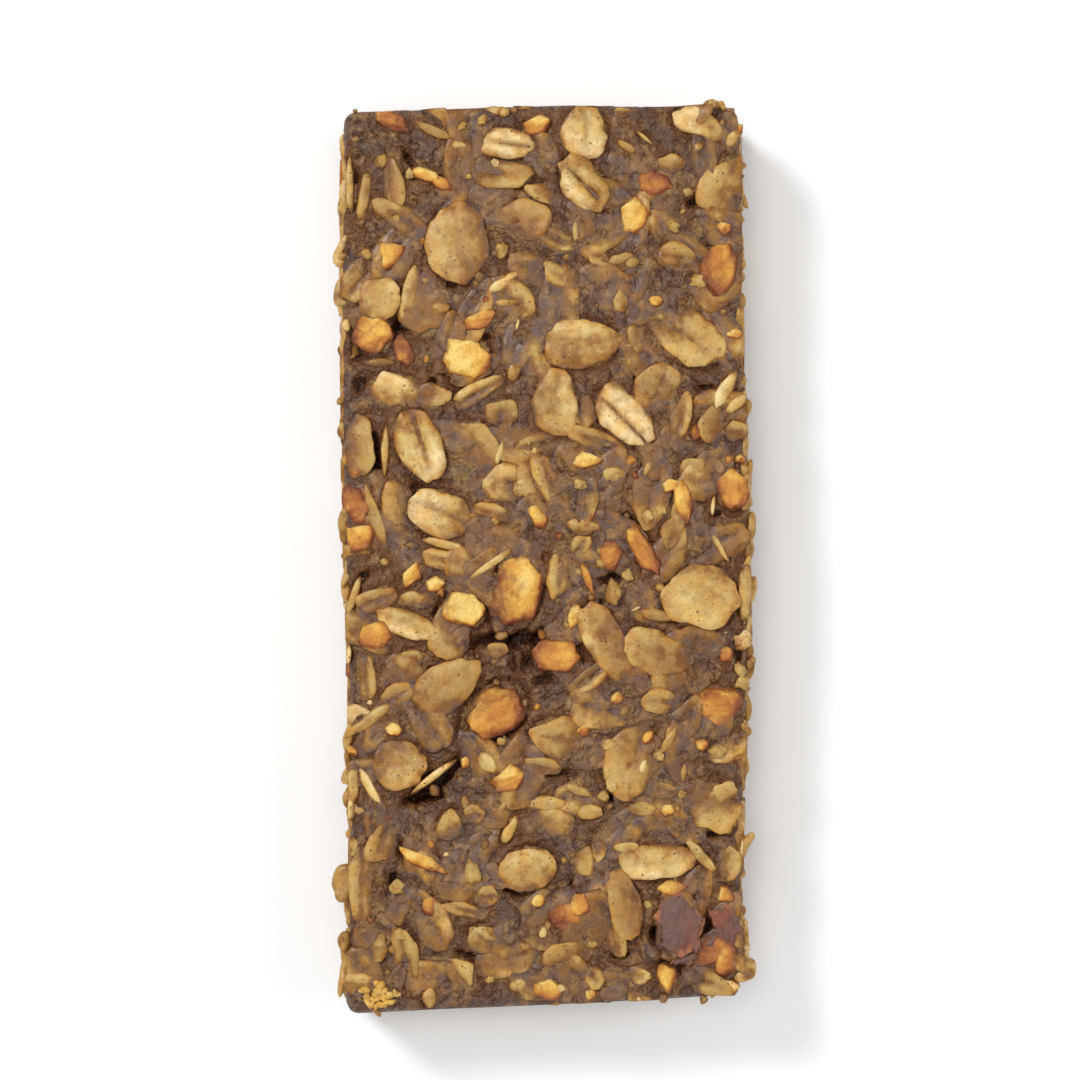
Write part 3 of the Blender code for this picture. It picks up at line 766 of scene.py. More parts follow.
# --- Nut pieces ------------------------------------------------------------------------------
# Toasted nuts, chopped: lumps with a few broken faces, from cream where freshly broken to deep
# orange where toasted, pressed in until their tops are nearly level with the paste.
# x, y, length, width, turn, tone (0 deep orange to 1 cream yellow), corners, lift, browning, and
# the browned side, or None where it doesn't tell and is drawn
NUTS = (
    (-17.0, 48.2, 4.8, 2.2, -25, 0.14, 5, 0.45, 0.6, 0),
    (-1.1, 47.7, 3.6, 2.3, 25, 0.70, 5, 0.50, 0.1, 200),
    (11.7, 41.3, 4.8, 2.8, -20, 0.08, 6, 0.40, 0.6, 90),
    (9.7, 37.5, 5.0, 4.0, 90, 0.76, 5, 0.65, 0.1, 60),
    (19.6, 36.3, 2.2, 2.0, 30, 0.36, 3, 0.45, 0.2, None),
    (19.0, 31.8, 7.2, 5.0, 75, 0.32, 8, 0.65, 1.0, 195),
    (-17.2, 33.5, 4.2, 3.9, -90, 0.66, 3, 0.55, 0.1, 90),
    (-19.0, 24.7, 5.2, 4.8, -90, 0.55, 5, 0.60, 0.3, 150),
    (-15.6, 22.8, 4.5, 2.4, 100, 0.26, 6, 0.30, 0.6, 60),
    (-8.8, 21.9, 6.4, 6.0, -80, 0.90, 7, 0.74, 0.1, 40),
    (-7.3, 26.3, 4.2, 2.6, 20, 0.48, 5, 0.45, 0.3, 150),
    (-13.2, 42.2, 3.6, 1.8, -20, 0.84, 6, 0.50, 0.1, None),
    (-11.5, 41.2, 3.0, 1.6, -30, 0.50, 5, 0.40, 0.2, None),
    (4.3, 10.8, 4.0, 2.2, -5, 0.84, 3, 0.50, 0.0, 180),
    (-21.0, 5.9, 5.0, 3.2, -60, 0.14, 6, 0.40, 0.7, 120),
    (-20.4, 2.2, 4.0, 3.8, 45, 0.44, 4, 0.50, 0.3, -60),
    (13.7, 8.0, 2.8, 1.8, 25, 0.62, 5, 0.45, 0.1, None),
    (15.1, 6.3, 5.4, 2.2, -80, 0.60, 5, 0.50, 0.1, 0),
    (20.5, 7.6, 5.2, 4.0, 95, 0.48, 7, 0.55, 0.3, 190),
    (10.6, 1.0, 7.8, 2.6, -60, 0.38, 5, 0.65, 0.4, 30),
    (7.2, 0.4, 4.0, 3.0, 90, 0.32, 5, 0.35, 0.5, 90),
    (-0.8, 4.5, 4.2, 2.0, -60, 0.56, 5, 0.45, 0.3, None),
    (-14.8, -1.9, 3.6, 2.2, 65, 0.74, 4, 0.50, 0.1, None),
    (-12.2, -2.9, 2.8, 1.9, 15, 0.86, 5, 0.45, 0.0, None),
    (-9.1, -5.7, 5.7, 5.0, 0, 0.92, 6, 0.75, 0.2, 185),
    (-3.3, -3.7, 10.2, 5.8, 72, 0.66, 6, 0.76, 0.9, 200),
    (4.6, -2.2, 4.6, 1.1, -72, 0.48, 4, 0.45, 0.2, None),
    (3.1, -6.5, 3.4, 1.9, 75, 0.72, 6, 0.40, 0.1, None),
    (-18.9, -8.6, 4.4, 4.0, 0, 0.52, 6, 0.45, 0.3, 120),
    (1.2, -10.7, 5.8, 4.2, -10, 0.46, 6, 0.60, 0.3, 140),
    (-5.8, -17.0, 8.8, 6.2, 40, 0.46, 7, 0.70, 0.7, 110),
    (19.0, -16.4, 6.2, 5.4, 0, 0.38, 7, 0.50, 0.4, 60),
    (19.8, -10.6, 2.6, 1.8, 90, 0.18, 5, 0.30, 0.6, None),
    (17.2, -20.6, 1.9, 1.5, 0, 0.50, 5, 0.35, 0.1, None),
    (-4.0, -24.3, 5.0, 3.2, 20, 0.62, 5, 0.50, 0.2, 190),
    (-13.4, -33.4, 7.0, 2.2, -28, 0.60, 4, 0.60, 0.3, -20),
    (-12.8, -38.2, 2.5, 2.0, 90, 0.26, 8, 0.30, 0.4, None),
    (13.9, -36.4, 3.8, 2.0, 0, 0.58, 4, 0.35, 0.2, None),
    (2.6, -39.6, 5.5, 4.0, -10, 0.24, 5, 0.35, 0.6, 200),
    (3.7, -38.2, 3.4, 3.0, 60, 0.42, 4, 0.50, 0.2, 90),
    (19.7, -37.2, 2.6, 2.2, -30, 0.62, 3, 0.50, 0.1, None),
    (19.9, -44.3, 4.4, 2.8, 80, 0.42, 6, 0.40, 0.5, None),
    (18.0, -43.3, 5.6, 3.6, 25, 0.20, 6, 0.20, 0.7, None),
    (13.3, -46.3, 3.8, 2.4, -90, 0.68, 3, 0.50, 0.2, 90),
    (0.1, -47.5, 4.2, 2.8, 0, 0.60, 5, 0.40, 0.2, None),
    (-0.9, -37.7, 2.1, 1.8, 0, 0.80, 6, 0.45, 0.0, None),
    (4.1, -19.1, 1.8, 1.5, 0, 0.38, 7, 0.40, 0.2, None),
    (-16.8, -18.9, 2.0, 1.9, 0, 0.94, 6, 0.50, 0.0, None),
    (4.8, -48.0, 1.8, 1.4, 0, 0.80, 5, 0.35, 0.0, None),
    (-8.9, -22.6, 1.8, 1.1, 90, 0.50, 5, 0.30, 0.2, None),
    (-21.3, -21.3, 2.0, 1.2, -40, 0.42, 5, 0.35, 0.2, None),
    (20.8, 24.6, 2.2, 1.5, 0, 0.62, 5, 0.35, 0.1, None),
    (21.4, 10.9, 1.5, 1.2, 0, 0.60, 5, 0.35, 0.1, None),
    (16.5, 13.8, 2.0, 1.2, 90, 0.40, 5, 0.35, 0.2, None),
    (13.4, -27.8, 1.8, 1.6, 0, 0.76, 7, 0.40, 0.1, None),
    (12.1, 28.3, 1.9, 1.4, 0, 0.74, 6, 0.35, 0.1, None),
    (7.8, -15.4, 2.0, 1.4, 0, 0.76, 6, 0.40, 0.1, None),
    (21.3, 47.3, 1.7, 1.2, 0, 0.46, 5, 0.35, 0.2, None),
    (11.3, -19.8, 2.0, 1.5, 60, 0.40, 6, 0.50, 0.2, None),
)
NUT_DEPTH = 3.4
LARGE_NUT = 4.5
NUT_TONES = (
    (0.00, (0.300, 0.080, 0.022)),
    (0.20, (0.410, 0.132, 0.024)),
    (0.40, (0.565, 0.220, 0.032)),
    (0.60, (0.700, 0.335, 0.050)),
    (0.80, (0.805, 0.465, 0.080)),
    (1.00, (0.880, 0.615, 0.175)),
)
NUT_BROWN = (0.270, 0.085, 0.028)
NUT_BREAKS = ((0.22, 0.62), (0.45, 0.72), (0.80, 0.72))
BREAK_FLATNESS = 0.88
NUT_REST = 0.15
NUT_DOME = 0.25
# Painted light and shade on the nuts' faces: lighter where a face turns this way, to the upper left
PAINTED_LIGHT_FROM = Vector((-0.45, 0.75, 0.0))
BROWNED_STEP = 30


def lay_nut(mesh, draw, place, look, corners, lift, depth, divisions):
    """One nut piece: a ball cut by flat breaks all round and across its top, then sized and laid.

    Its tone falls towards the rim as painted shade, and its faces carry painted light and shade:
    lighter where they turn to the upper left, darker where they turn away.
    """
    x, y, length, width, turn = place
    tone, browning, browned = look
    spin = math.radians(turn)
    breaks = []
    for corner in range(corners):
        angle = math.tau * (corner + 0.5 + draw.uniform(-0.22, 0.22)) / corners
        tip = draw.uniform(-0.15, 0.45)
        flat = Vector((math.cos(angle), math.sin(angle), tip)).normalized()
        breaks.append((flat, draw.uniform(0.54, 0.68) if corners < 5 else draw.uniform(0.64, 0.86)))
    for lean, reach in NUT_BREAKS:
        angle = draw.uniform(0, math.tau)
        flat = Vector((lean * math.cos(angle), lean * math.sin(angle), 1)).normalized()
        breaks.append((flat, reach))
    piece = new_food_mesh()
    ball = bmesh.ops.create_icosphere(piece, subdivisions=divisions, radius=1.0)["verts"]
    shift = draw.uniform(0, 50)
    for vertex in ball:
        for flat, reach in breaks:
            over = vertex.co.dot(flat) - reach
            if over > 0:
                vertex.co -= flat * (over * BREAK_FLATNESS)
        rough = noise.noise(vertex.co * 2.4 + Vector((shift, 0, 0)))
        fine = noise.noise(vertex.co * 6.0 + Vector((0, shift, 0)))
        vertex.co *= 1 + 0.15 * rough + 0.06 * fine
    half_x = max(abs(vertex.co.x) for vertex in ball)
    half_y = max(abs(vertex.co.y) for vertex in ball)
    top = max(vertex.co.z for vertex in ball)
    ground = slab_level(x, y) - NUT_REST
    brown_side = math.radians(browned - turn)
    for vertex in ball:
        a = vertex.co.x / half_x * length / 2
        b = vertex.co.y / half_y * width / 2
        px, py = within_cut(*turned(x, y, a, b, spin))
        above = vertex.co.z / top * (lift + NUT_DOME)
        pz = ground + (above if vertex.co.z > 0 else vertex.co.z * depth / 2)
        side = (vertex.co.x * math.cos(brown_side) + vertex.co.y * math.sin(brown_side)) / 0.8
        patch = ripple(px * 0.6, py * 0.6, shift)
        low = 1 - ease(pz - slab_level(px, py), 0.05, 0.55)
        # Painted shade at the rim: outer lowers the tone and raises the stain towards the nut's edge
        outer = ease(math.hypot(a / length, b / width) * 2, 0.50, 1.0)
        stain = browning * ease(side * 0.7 + patch * 0.9, 0.0, 0.7) + 0.50 * low + 0.45 * outer ** 3
        film = browning * (0.20 + 0.55 * ease(side, -0.4, 1.0)) - 0.16 + 0.25 * outer
        shade = tone + 0.07 - 0.15 * side - 0.42 * outer + 0.22 * patch
        paint(piece, vertex, tone=shade, stain=min(1.0, stain), coat=smeared(px, py, pz, film))
        vertex.co = (px * MM, py * MM, pz * MM)
    # Painted light and shade: each face's tone rises as it turns to the upper left and falls as it turns away
    piece.normal_update()
    tones = piece.verts.layers.float["tone"]
    for vertex in ball:
        vertex[tones] += vertex.normal.dot(PAINTED_LIGHT_FROM)
    add_into(mesh, piece)
    pressed_in.append((x, y, length / 2, width / 2, spin, lift - NUT_DOME, 0.0, 0.0, 1.0))


def nut_finish():
    """Cream to deep orange, stained brown in blotches and fold lines, rough where it broke; the painted stain
    also carries painted shade at the rim.
    """
    finish = Finish("toasted_nut", 0.38, 0.35)
    uneven = finish.mottled((2.0, 3.0, 0.6, 1.5), 0.3, 0.7, -0.14, 0.14)
    colour = finish.ramp(finish.sum(finish.painted("tone"), uneven), NUT_TONES)
    blotch = finish.mottled((1.0, 4.0, 0.7, 2.5), 0.34, 0.62, 0.25, 1.0)
    stain = finish.product(finish.painted("stain"), blotch)
    colour = finish.mix(stain, colour, NUT_BROWN)
    folds = finish.lumps(3.4, 9.5)
    browned = finish.remap(finish.painted("stain"), 0.02, 0.40, 0.08, 0.7)
    fold_line = finish.product(finish.remap(folds, 0.0, 0.5, 1.0, 0.0), browned)
    colour = finish.mix(fold_line, colour, NUT_BROWN)
    some = finish.mottled((2.5, 1.0, 0.5, 6.5), 0.45, 0.58, 0.05, 0.7)
    specks = finish.product(finish.specks(1.1, 0.20), some)
    colour = finish.mix(specks, colour, OAT_CREASE)
    ragged = finish.mottled((0.9, 5.0, 0.75, 3.5), 0.3, 0.7, -0.30, 0.30)
    finish.colour(under_film(finish, colour, ragged))
    finish.roughness(finish.mottled((1.2, 2.0, 0.5, 8.5), 0.3, 0.7, 0.28, 0.52))
    crags = finish.sum(finish.patches(0.9, 4.0, 0.65, 7.5), finish.product(folds, 0.22))
    finish.relief(crags, 0.52)
    return finish.material


nut_flesh = nut_finish()
draw = random.Random(14)
browned_draw = random.Random(5)
mesh = new_food_mesh()
for *place, tone, corners, lift, browning, browned in NUTS:
    if browned is None:
        browned = browned_draw.randrange(0, 360, BROWNED_STEP)
    length, width = place[2:4]
    large = length >= LARGE_NUT
    depth = min(NUT_DEPTH, 1.2 * width + 0.6)
    look = (tone, browning, browned)
    lay_nut(mesh, draw, place, look, corners, lift, depth, 4 if large else 3)
finish_piece("nut_pieces", mesh, nut_flesh)

# --- Torn almond skin ------------------------------------------------------------------------
# A papery red-brown skin with a mauve bloom, wrinkled and torn, still lying over the orange
# nut that it came off. Its near edge curls up over a dark hollow.
# x, y, length, width, turn, lift, lean, side that stands up, crown
ALMOND_SKINS = (
    (14.6, -40.3, 7.6, 5.8, 75, 0.46, 0.05, -60, 0.50),
    (20.0, -40.6, 4.8, 3.2, -75, 0.40, 0.05, 180, 0.45),
    (15.2, -44.2, 3.8, 0.9, 14, 0.42, 0.0, 0, 0.1),
    (18.0, -42.4, 3.4, 1.0, 40, 0.30, 0.0, 0, 0.1),
)
SKIN_MAUVE = (0.165, 0.088, 0.070)
SKIN_RED = (0.235, 0.070, 0.040)
SKIN_DARK = (0.060, 0.022, 0.014)
SKIN_TORN = (0.420, 0.150, 0.060)
SKIN_FACETS = (72, 24)
SKIN_THICK = 0.8
SKIN_LOOK = (0.5, 0.0, 0.0)
SKIN_FILM = (0.0, 0.0)
TEAR_REACH = 0.75
FOLD_HEIGHT = 0.26


def skin_finish():
    """Papery: mauve with red-brown patches and dark flecks, and frayed orange where it tore."""
    finish = Finish("almond_skin", 0.42, 0.35)
    look = finish.mix(finish.mottled((2.8, 3.0, 0.5), 0.46, 0.64), SKIN_MAUVE, SKIN_RED)
    look = finish.mix(finish.mottled((0.9, 3.0, 0.6, 9.0), 0.50, 0.66, 0.0, 0.4), look, SKIN_DARK)
    frayed = finish.mottled((0.8, 3.0, 0.6, 3.0), 0.40, 0.56)
    torn = finish.product(finish.remap(finish.painted("rim"), 0.4, 1.0), frayed)
    finish.colour(finish.mix(torn, look, SKIN_TORN))
    finish.relief(finish.patches(0.6, 4.0, 0.7, 5.0), 0.35)
    return finish.material


draw = random.Random(15)
mesh = new_food_mesh()
for x, y, length, width, turn, lift, lean, toward, crown in ALMOND_SKINS:
    piece = new_food_mesh()
    place = (x, y, length, width, turn)
    lay_oat(piece, draw, place, SKIN_LOOK, lift, lean, toward, SKIN_FILM, SKIN_FACETS, SKIN_THICK)
    rims = piece.verts.layers.float["rim"]
    for vertex in piece.verts:
        px, py, pz = vertex.co / MM
        along, across = turned(0, 0, px, py, -math.radians(turn))
        folds = 0.5 - 2.2 * abs(ripple(along * 0.30, across * 0.9, 4.0))
        tear = noise.noise_vector(Vector((px * 0.9, py * 0.9, 7.0)))
        tear += 0.5 * noise.noise_vector(Vector((px * 2.4, py * 2.4, 5.0)))
        away = math.hypot(px - x, py - y) / (width / 2)
        vertex.co += Vector((tear.x, tear.y, 0)) * (TEAR_REACH * vertex[rims] * MM)
        vertex.co.z += (crown * max(0.0, 1 - away ** 2) - 0.1 + FOLD_HEIGHT * folds) * MM
    add_into(mesh, piece)
finish_piece("almond_skin", mesh, skin_finish())

# --- Crumbs, nubs and shreds -----------------------------------------------------------------
# Broken bits of oat and nut, from half a millimetre to two, wherever the larger pieces leave
# paste bare, and a cluster of golden crumbs loose on the near left corner.
# x, y, size, tone
SHOWN_CRUMBS = (
    (-18.1, 43.7, 1.4, 0.62), (-15.0, 42.3, 1.0, 0.74), (-9.2, 47.5, 0.8, 0.64), (-7.0, 48.2, 1.1, 0.60),
    (-5.6, 43.5, 0.9, 0.94), (-8.5, 42.0, 0.6, 0.70), (-19.7, 33.5, 1.2, 0.46), (-4.9, 33.9, 1.5, 0.52),
    (-4.6, 49.0, 1.0, 0.72), (18.4, 50.0, 1.1, 0.70), (19.4, 49.8, 0.9, 0.64), (9.6, 32.6, 1.2, 0.56),
    (14.0, 36.6, 1.4, 0.50), (15.6, 40.3, 1.0, 0.42), (-11.6, 27.5, 1.5, 0.40), (16.9, 30.5, 1.7, 0.66),
    (3.8, 8.1, 1.3, 0.64), (11.2, 4.5, 1.4, 0.78), (12.6, 5.2, 1.2, 0.76), (-1.3, 11.8, 0.6, 0.86),
    (9.0, -1.9, 1.2, 0.74), (7.4, -3.8, 2.0, 0.56), (21.4, -12.3, 1.4, 0.70), (21.6, -13.7, 1.5, 0.66),
    (18.9, -21.3, 1.6, 0.50), (7.0, -20.6, 1.5, 0.80), (12.5, -21.7, 1.3, 0.74), (-16.4, -36.3, 1.6, 0.60),
    (-8.1, -34.6, 2.2, 0.58), (-6.2, -46.4, 0.8, 0.74), (-18.3, -42.2, 1.3, 0.62), (15.0, -26.0, 1.0, 0.58),
    (7.2, -25.1, 1.3, 0.74), (-4.9, -20.2, 0.9, 0.66), (6.3, -26.2, 1.2, 0.60), (1.6, -47.4, 0.9, 0.90),
    (-16.2, -41.4, 1.5, 0.62), (-11.0, -32.6, 0.5, 1.00), (10.2, -48.6, 0.6, 1.00), (-19.4, -15.9, 0.5, 1.00),
)
CRUMB_LIFT = 0.27
SMALLEST_CRUMB = 0.4
OAT_CRUMB_TONES = (0.25, 0.35, 0.42, 0.50, 0.56, 0.62, 0.70, 0.80)
NUT_CRUMB_TONES = (0.2, 0.35, 0.5, 0.62, 0.74)
# How many, half width, near end and far end of the strewn top, added size, tones, sunk by, film
OAT_CRUMBS = (190, 22.0, -48.8, 49.4, 0.9, OAT_CRUMB_TONES, 0.10, (0.1, 0.6))
NUT_CRUMBS = (40, 21.8, -48.6, 49.2, 0.8, NUT_CRUMB_TONES, 0.08, (0.0, 0.5))
GOLDEN_CRUMBS = (
    (-18.3, -47.5, 1.5), (-17.6, -47.8, 1.1), (-19.9, -47.8, 0.9), (-19.4, -48.4, 1.0), (-18.8, -48.3, 1.0),
    (-18.2, -48.2, 0.9), (-17.2, -48.1, 0.8), (-16.6, -48.0, 0.7), (-17.9, -49.0, 1.0), (-17.2, -48.9, 0.8),
    (-19.3, -49.0, 0.9), (-18.6, -49.3, 0.7), (-20.3, -47.6, 0.6), (-16.1, -48.0, 0.5), (-18.6, -46.9, 0.7),
)
GOLDEN_TONE = 0.86


def lay_crumb(mesh, draw, x, y, z, size, tone, film, divisions=2, stretch=1.4):
    """One crumb: a small jagged lump, longer one way, and partly under paste if it has a film."""
    piece = new_food_mesh()
    ball = bmesh.ops.create_icosphere(piece, subdivisions=divisions, radius=0.5)["verts"]
    spin = draw.uniform(0, math.pi)
    longer = draw.uniform(1.0, stretch)
    shift = Vector((draw.uniform(0, 90), 0, 0))
    for vertex in ball:
        vertex.co *= 1 + 0.45 * noise.noise(vertex.co * 3.4 + shift)
        a = vertex.co.x * size * longer
        b = vertex.co.y * size / longer ** 0.5
        px, py = turned(x, y, a, b, spin)
        pz = z + vertex.co.z * size * 0.8
        coat = smeared(px, py, pz, film) if film is not None else 0.0
        paint(piece, vertex, tone=tone, coat=coat, stain=0.25)
        vertex.co = (px * MM, py * MM, pz * MM)
    add_into(mesh, piece)


def strew_crumbs(mesh, draw, count, half_width, near, far, added, tones, sunk, film):
    """Crumbs all over the top, most of them small and partly under the paste."""
    for number in range(count):
        x = draw.uniform(-half_width, half_width)
        y = draw.uniform(near, far)
        size = SMALLEST_CRUMB + added * draw.random() ** 2
        tone = draw.choice(tones)
        lay_crumb(mesh, draw, x, y, slab_level(x, y) - sunk, size, tone, draw.uniform(*film))


draw = random.Random(16)
mesh = new_food_mesh()
for x, y, size, tone in SHOWN_CRUMBS:
    rise = slab_level(x, y) + CRUMB_LIFT - 0.15 * size
    lay_crumb(mesh, draw, x, y, rise, size, tone, 0.12, 3)
strew_crumbs(mesh, draw, *OAT_CRUMBS)
finish_piece("oat_crumbs", mesh, oat_skin)

draw = random.Random(17)
mesh = new_food_mesh()
for x, y, size in GOLDEN_CRUMBS:
    for part in range(3):
        near_x = x + draw.uniform(-0.35, 0.35) * size
        near_y = y + draw.uniform(-0.3, 0.3) * size
        rise = slab_level(near_x, near_y) + draw.uniform(0.15, 0.42)
        lay_crumb(mesh, draw, near_x, near_y, rise, size * 0.75, GOLDEN_TONE, None, 2, 1.7)
strew_crumbs(mesh, draw, *NUT_CRUMBS)
finish_piece("nut_crumbs", mesh, nut_flesh)

# --- Cut oats and nuts along the four sides --------------------------------------------------
# The slab was pressed and then cut, so the flakes in it lie level and the knife left their pale
# cross-sections flush with the sides, a few standing a hair proud or torn out past the cut.
SIDE_ROWS = (1.3, 3.2, 5.1, 7.0, 8.9, 10.6)
SIDE_PITCH = 4.4
SIDE_PROUD = 0.25
SIDE_FLARE = 0.40
LONG_SIDE_INSET = 0.20
END_INSET = 0.12
# Flakes torn out past the cut: x, y, length, width, turn, tone, height
TORN_OUT = (
    (-22.3, -35.6, 3.8, 2.8, 80, 0.60, 11.2),
    (-22.2, -36.6, 3.2, 2.0, 60, 0.40, 10.9),
    (-22.2, -42.4, 2.6, 1.5, 80, 0.46, 11.0),
    (22.0, -45.5, 3.4, 2.4, 60, 0.84, 11.1),
    (21.6, -43.2, 1.8, 1.0, 10, 0.96, 11.5),
    (-22.5, -46.5, 4.4, 1.0, 88, 0.84, 10.4),
    (-18.9, -49.8, 2.0, 0.8, -60, 0.46, 11.3),
    (18.4, 49.9, 2.4, 1.4, 10, 0.80, 11.3),
)
# Stretches of a long side where flakes were torn into a pale fringe: side, from, to, tone
FRINGES = (
    (-1, 25.0, 47.0, 0.92),
    (-1, 14.0, 25.0, 0.50),
    (-1, -6.0, 4.0, 0.62),
    (-1, -32.0, -18.0, 0.62),
    (-1, -47.0, -38.0, 0.74),
    (1, 28.0, 46.0, 0.90),
    (1, -4.0, 20.0, 0.66),
    (1, -24.0, -10.0, 0.55),
    (1, -46.0, -30.0, 0.76),
)
FRINGE_PITCH = 1.0
# Each side: the way out, its cut edge, where its rows of flakes start, and their length
SIDES = (
    (Vector((1, 0, 0)), RIGHT_EDGE, -47, 96),
    (Vector((-1, 0, 0)), LEFT_EDGE, -47, 96),
    (Vector((0, 1, 0)), FAR_EDGE, -20.5, 41),
    (Vector((0, -1, 0)), NEAR_EDGE, -20.5, 41),
)
ROW_SCATTER = 0.8
SIDE_OAT_SHARE = 0.84
SIDE_OAT_TONES = (0.20, 0.32, 0.42, 0.52, 0.62, 0.72, 0.84)
SIDE_NUT_TONES = (0.2, 0.35, 0.5, 0.6, 0.75, 0.9)
NUT_HEIGHTS = (0.5, 11.0)
# What reaches below the slab is cut off at its foot, each at a level of its own
FOOT_LEVEL = 0.02
FOOT_SPREAD = 0.03
FLAKE_BEND = 0.22
TORN_FILM = 0.10


def side_flare(z):
    """How far the two long cuts lean in at a height, since the knife spread the slab's foot."""
    return SIDE_FLARE * np.clip(z / SLAB_LEVEL, 0, 1) ** 1.5


def cut_flush(piece, spot, outward):
    """Cuts a closed piece off at a plane through a spot and closes the cut."""
    everything = list(piece.verts) + list(piece.edges) + list(piece.faces)
    cut = bmesh.ops.bisect_plane(
        piece, geom=everything, plane_co=spot, plane_no=outward, clear_outer=True, dist=1e-7
    )
    rim = [part for part in cut["geom_cut"] if isinstance(part, bmesh.types.BMEdge)]
    if rim:
        bmesh.ops.holes_fill(piece, edges=rim, sides=0)


def cut_foot(piece, level):
    """Cuts off what reaches below a level and closes the cut."""
    cut_flush(piece, Vector((0, 0, level)), Vector((0, 0, -1)))


def level_flake(piece, draw, x, y, z, length, width, thick, turn, tone, film=0.40, tip=1.0):
    """A flake lying nearly level inside the slab, to be cut where it meets a side.

    The film is how much paste covers it, and the tip how far it may lie from level.
    """
    ball = bmesh.ops.create_uvsphere(piece, u_segments=20, v_segments=8, radius=0.5)["verts"]
    sized = Matrix.Diagonal((length, width, thick, 1))
    tipped = Matrix.Rotation(tip * draw.uniform(-0.4, 0.4), 4, "X")
    tipped = tipped @ Matrix.Rotation(tip * draw.gauss(0, 0.28), 4, "Y")
    placed = Matrix.Translation((x, y, z)) @ Matrix.Rotation(math.radians(turn), 4, "Z")
    bmesh.ops.transform(piece, matrix=placed @ tipped @ sized, verts=ball)
    shift = draw.uniform(0, 60)
    for vertex in ball:
        vertex.co += noise.noise_vector(vertex.co * 0.7 + Vector((shift, 0, 0))) * FLAKE_BEND
        coat = film + 0.9 * noise.noise(vertex.co * 0.9)
        paint(piece, vertex, tone=tone, coat=coat, stain=0.3, crease=0.0, rim=0.5)


def side_places(draw):
    """Places all round the four sides: the point on the cut, and the way out of it."""
    for z in SIDE_ROWS:
        for outward, edge, start, run in SIDES:
            along = Vector((abs(outward.y), abs(outward.x), 0))
            for step in range(int(run / SIDE_PITCH)):
                place = start + (step + draw.uniform(0.1, 0.9)) * SIDE_PITCH
                spot = outward * float(edge_at(edge, place)) + along * place
                spot.z = z + draw.uniform(-ROW_SCATTER, ROW_SCATTER)
                yield spot, outward


def finish_gathered(name, gathered, material):
    """Turns food that was gathered in millimetres into a piece in metres."""
    bmesh.ops.scale(gathered, vec=(MM, MM, MM), verts=gathered.verts)
    finish_piece(name, gathered, material)


draw = random.Random(18)
side_oats = new_food_mesh()
side_nuts = new_food_mesh()
for spot, outward in side_places(draw):
    piece = new_food_mesh()
    long_side = abs(outward.x)
    high = float(side_flare(spot.z)) / SIDE_FLARE * long_side
    proud = draw.uniform(0.1, 1.0) * SIDE_PROUD * (0.3 + 0.7 * long_side + 1.2 * high)
    inset = LONG_SIDE_INSET + SIDE_FLARE * high if long_side else END_INSET
    spot -= outward * (inset - proud)
    across = outward.cross(Vector((0, 0, 1)))
    inward = spot - outward * draw.uniform(0.3, 1.6)
    turn = math.degrees(math.atan2(across.y, across.x))
    length = draw.uniform(2.4, 7.2)
    if draw.random() < SIDE_OAT_SHARE:
        thick = draw.uniform(0.5, 1.5)
        tone = draw.choice(SIDE_OAT_TONES) + 0.25 * high
        level_flake(piece, draw, *inward, length, draw.uniform(3.5, 5.5), thick, turn, tone)
        gathered = side_oats
    else:
        thick = draw.uniform(2.0, 3.6)
        inward.z = max(inward.z, NUT_HEIGHTS[0] + thick / 2)
        inward.z = min(inward.z, NUT_HEIGHTS[1] - thick / 2)
        tone = draw.choice(SIDE_NUT_TONES)
        level_flake(piece, draw, *inward, 0.7 * length, 4.0, thick, turn, tone)
        gathered = side_nuts
    cut_flush(piece, spot, outward)
    cut_foot(piece, FOOT_LEVEL + FOOT_SPREAD * proud)
    add_into(gathered, piece)
for x, y, length, width, turn, tone, z in TORN_OUT:
    piece = new_food_mesh()
    level_flake(piece, draw, x, y, z, length, width, 1.0, turn, tone, TORN_FILM)
    add_into(side_oats, piece)
for side, start, end, tone in FRINGES:
    for step in range(int((end - start) / FRINGE_PITCH)):
        y = start + (step + draw.random()) * FRINGE_PITCH
        x = side * (edge_at(RIGHT_EDGE if side > 0 else LEFT_EDGE, y) - draw.uniform(0.25, 1.0))
        piece = new_food_mesh()
        size = (draw.uniform(0.8, 4.2), draw.uniform(0.8, 1.6), draw.uniform(0.6, 1.4))
        turn = 90 + draw.gauss(0, 14)
        shade = tone + draw.uniform(-0.3, 0.15)
        level_flake(piece, draw, x, y, draw.uniform(9.6, 11.3), *size, turn, shade, TORN_FILM)
        add_into(side_oats, piece)
finish_gathered("side_oats", side_oats, oat_skin)
finish_gathered("side_nuts", side_nuts, nut_flesh)

# --- Oats and nuts pressed against the tray --------------------------------------------------
# The underside took the tray's flatness: flakes and nut faces lie level with the paste there, each
# cut off at a level of its own, all within 0.04 mm, so that no two neighbours share a plane.
UNDER_PITCH = 4.1
UNDER_COLUMNS = 10
UNDER_ROWS = 23
UNDER_START = (-20.0, -47.5)
UNDER_MARGIN = 0.7
LEAST_ROOM = 1.4
UNDER_LEVEL = 0.02
UNDER_SPREAD = 0.035
GOLDEN_STEP = 0.618
UNDER_OAT_SHARE = 0.8
UNDER_FILM = 0.25
UNDER_TIP = 0.2
# Thickness, shortest and longest, tones
UNDER_OAT = (0.8, (4.5, 8.5), (0.3, 0.4, 0.5, 0.58, 0.66, 0.76))
UNDER_NUT = (2.6, (3.0, 6.0), (0.2, 0.4, 0.55, 0.7, 0.85))

